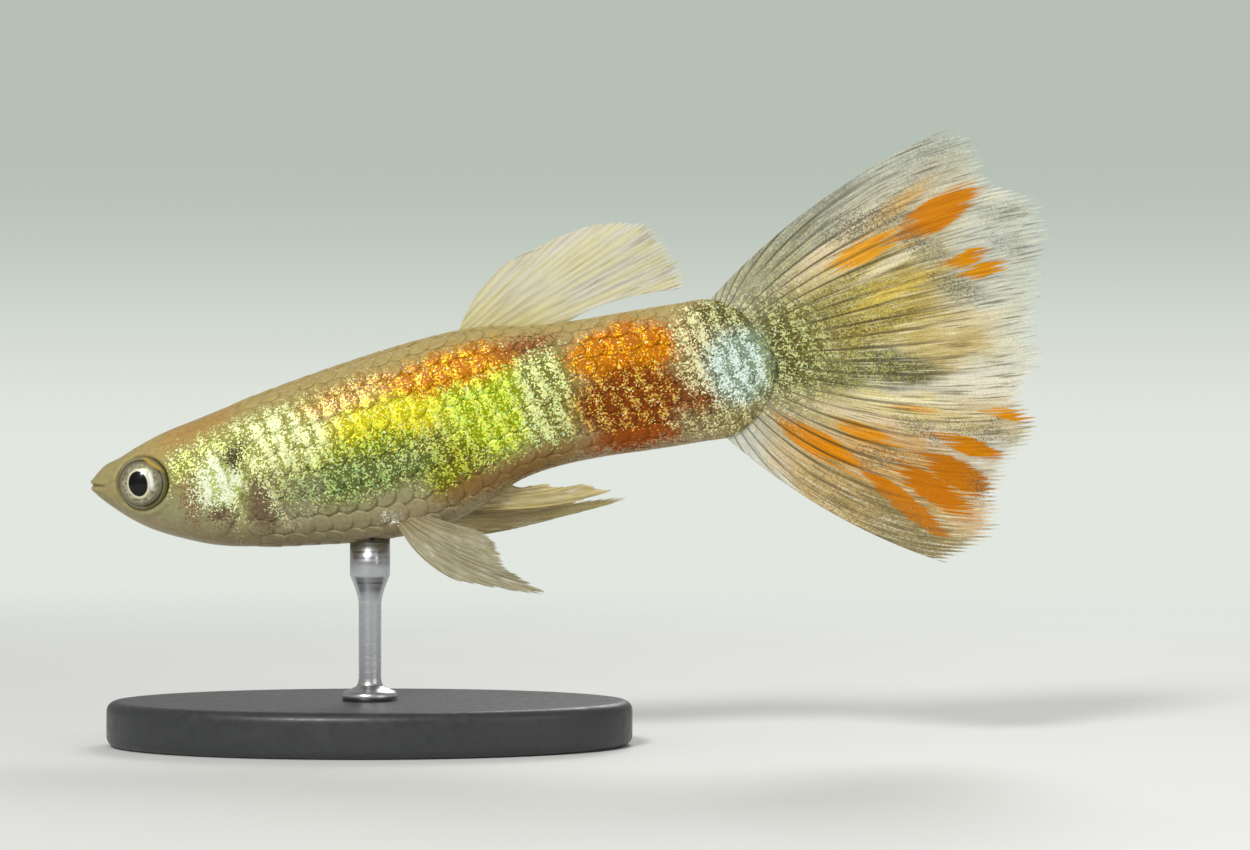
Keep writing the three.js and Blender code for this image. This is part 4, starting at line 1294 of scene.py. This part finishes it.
def rounded(height, outward):
    """The rings of the base's rounded edge, going up: outward below the rim, inward above it."""
    steps = np.linspace(0, math.pi / 2, 7)
    if outward:
        return [(BASE_EDGE * (1 - math.sin(t)), height + BASE_EDGE * (1 - math.cos(t))) for t in steps]
    return [(BASE_EDGE * (1 - math.cos(t)), height - BASE_EDGE * (1 - math.sin(t))) for t in steps]


def build_base():
    half_long, half_wide = BASE_LENGTH / 2, BASE_WIDTH / 2
    rings = [(half_wide, 0.0)] + rounded(0, True) + rounded(BASE_HEIGHT, False)
    rings += [(0.6, BASE_HEIGHT), (2.0, BASE_HEIGHT), (half_wide, BASE_HEIGHT)]
    build_stand_piece("stand_base", oval_rings(rings, half_long, half_wide), build_base_material())


def build_rod():
    wide, slim, pad = ROD_FOOT_RADIUS, ROD_FOOT_RADIUS - ROD_RADIUS, ROD_FOOT_RADIUS - ROD_PAD_RADIUS
    foot = [(wide, 0.0), (0.0, 0.0), (0.0, 0.22), (0.03, 0.3), (0.12, 0.37), (0.27, 0.43),
            (slim - 0.1, 0.55), (slim - 0.02, 0.7), (slim, 0.9)]
    rings = [(inset, BASE_HEIGHT + height) for inset, height in foot]
    rings += [(slim, 5.6), (slim - 0.03, 5.9), (slim - 0.15, 6.3), (pad + 0.04, 6.7), (pad, 6.8), (pad, 7.2)]
    rings += [(pad, ROD_TOP), (pad + 0.4, ROD_TOP), (wide, ROD_TOP)]
    points = oval_rings(rings, wide, wide)
    belly = BVHTree.FromObject(skin, bpy.context.evaluated_depsgraph_get())
    for point in points[-ROD_TOP_RINGS * STAND_SIDES:]:
        hit = belly.ray_cast(Vector((point * (1, 1, 0)) * MM), Vector((0, 0, 1)))[0]
        point[2] = hit.z / MM - ROD_GAP
    print("pad's height in mm:", round(float(points[-ROD_TOP_RINGS * STAND_SIDES:, 2].mean()), 2))
    build_stand_piece("stand_rod", points, build_rod_material())


build_base()
build_rod()

# %% [markdown]
# Room and light.
#
# A pale floor fades out into a pale room, so that nothing draws the eye from the fish. A picture of a room
# could light it, but three lamps are easier to follow. A soft one stands above and to the left, a large and
# weak one fills from the right, and a third rims the fins from behind.

# %% Floor and room
FLOOR_RADIUS = 0.16  # in metres, as all lengths in this cell
FISH_MIDDLE = (0.002, 0, 0.012)


def build_floor():
    circle = {"vertices": 96, "radius": FLOOR_RADIUS, "fill_type": "TRIFAN", "location": (0.01, 0, 0)}
    bpy.ops.mesh.primitive_circle_add(**circle)
    floor = bpy.context.object
    floor.name = "floor"
    material, g, shader = new_material("pale floor", Roughness=0.6)
    place = g.add("TexCoord", output="Object")
    far = g.length(place)
    cloud = g.noise(place, 60.0, 3.0)
    g.put(g.mix(cloud, rgb(222, 224, 220), rgb(230, 231, 228)), shader["Base Color"])
    g.put(g.step(far, 0.05, 0.15, 1.0, 0.0), shader["Alpha"])
    floor.data.materials.append(material)
    floor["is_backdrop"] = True


def build_room():
    world = bpy.data.worlds.new("pale room")
    world.use_nodes = True
    bpy.context.scene.world = world
    g = Graph(world.node_tree)
    way = g.add("SeparateXYZ", {"Vector": g.add("TexCoord", output="Generated")}, output="Z")
    backdrop = g.mix(g.step(way, -0.01, 0.08), rgb(226, 231, 224), rgb(182, 192, 181))
    seen = g.add("LightPath", output="Is Camera Ray")
    background = world.node_tree.nodes["Background"]
    g.put(g.mix(seen, rgb(162, 162, 160), backdrop), background.inputs["Color"])


def add_light(name, place, size, power):
    light = bpy.data.lights.new(name, "AREA")
    light.shape, light.size, light.energy = "DISK", size, power
    lamp = bpy.data.objects.new(name, light)
    lamp.location = place
    lamp.rotation_euler = (Vector(FISH_MIDDLE) - Vector(place)).to_track_quat("-Z", "Y").to_euler()
    bpy.context.scene.collection.objects.link(lamp)
    print("lamp:", name)


build_floor()
build_room()
add_light("key", (-0.08, -0.22, 0.2), 0.08, 0.6)
add_light("fill", (0.22, -0.16, 0.1), 0.16, 0.09)
add_light("rim", (0.06, 0.2, 0.16), 0.12, 0.2)

# %% [markdown]
# The camera.
#
# The fish is seen from its left side, level with it and from far enough away that the near fins don't swell.
# An orthographic camera would do that too, but a long lens keeps the little depth that a photograph has.

# %% Camera
FRAME_WIDTH = 50.0  # millimetres across the picture, at the fish
PICTURE_MIDDLE = np.array([10.2, 0.0, 12.8])
LENS, SENSOR = 100.0, 36.0
camera_data = bpy.data.cameras.new("camera")
camera_data.lens, camera_data.sensor_width = LENS, SENSOR
camera_data.clip_start, camera_data.clip_end = 0.005, 10
camera = bpy.data.objects.new("camera", camera_data)
distance = FRAME_WIDTH * LENS / SENSOR
camera.location = (PICTURE_MIDDLE + np.array([0, -distance, 0])) * MM
camera.rotation_euler = (math.pi / 2, 0, 0)
bpy.context.scene.collection.objects.link(camera)
bpy.context.scene.camera = camera
bpy.context.scene.view_settings.view_transform = "Standard"
print("camera distance in mm:", round(distance, 1))

# %% [markdown]
# The two boxes.
#
# The dressed fish has to stay as large as the solid parts that it covers. So the box round the solids, which
# was measured at the start, and the box round the finished pieces are printed side by side.

# %% Print the two boxes
looks_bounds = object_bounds()
sizes = [[list(map(float, corner)) for corner in box] for box in (solid_bounds, looks_bounds)]
print("solid and dressed boxes:", sizes)
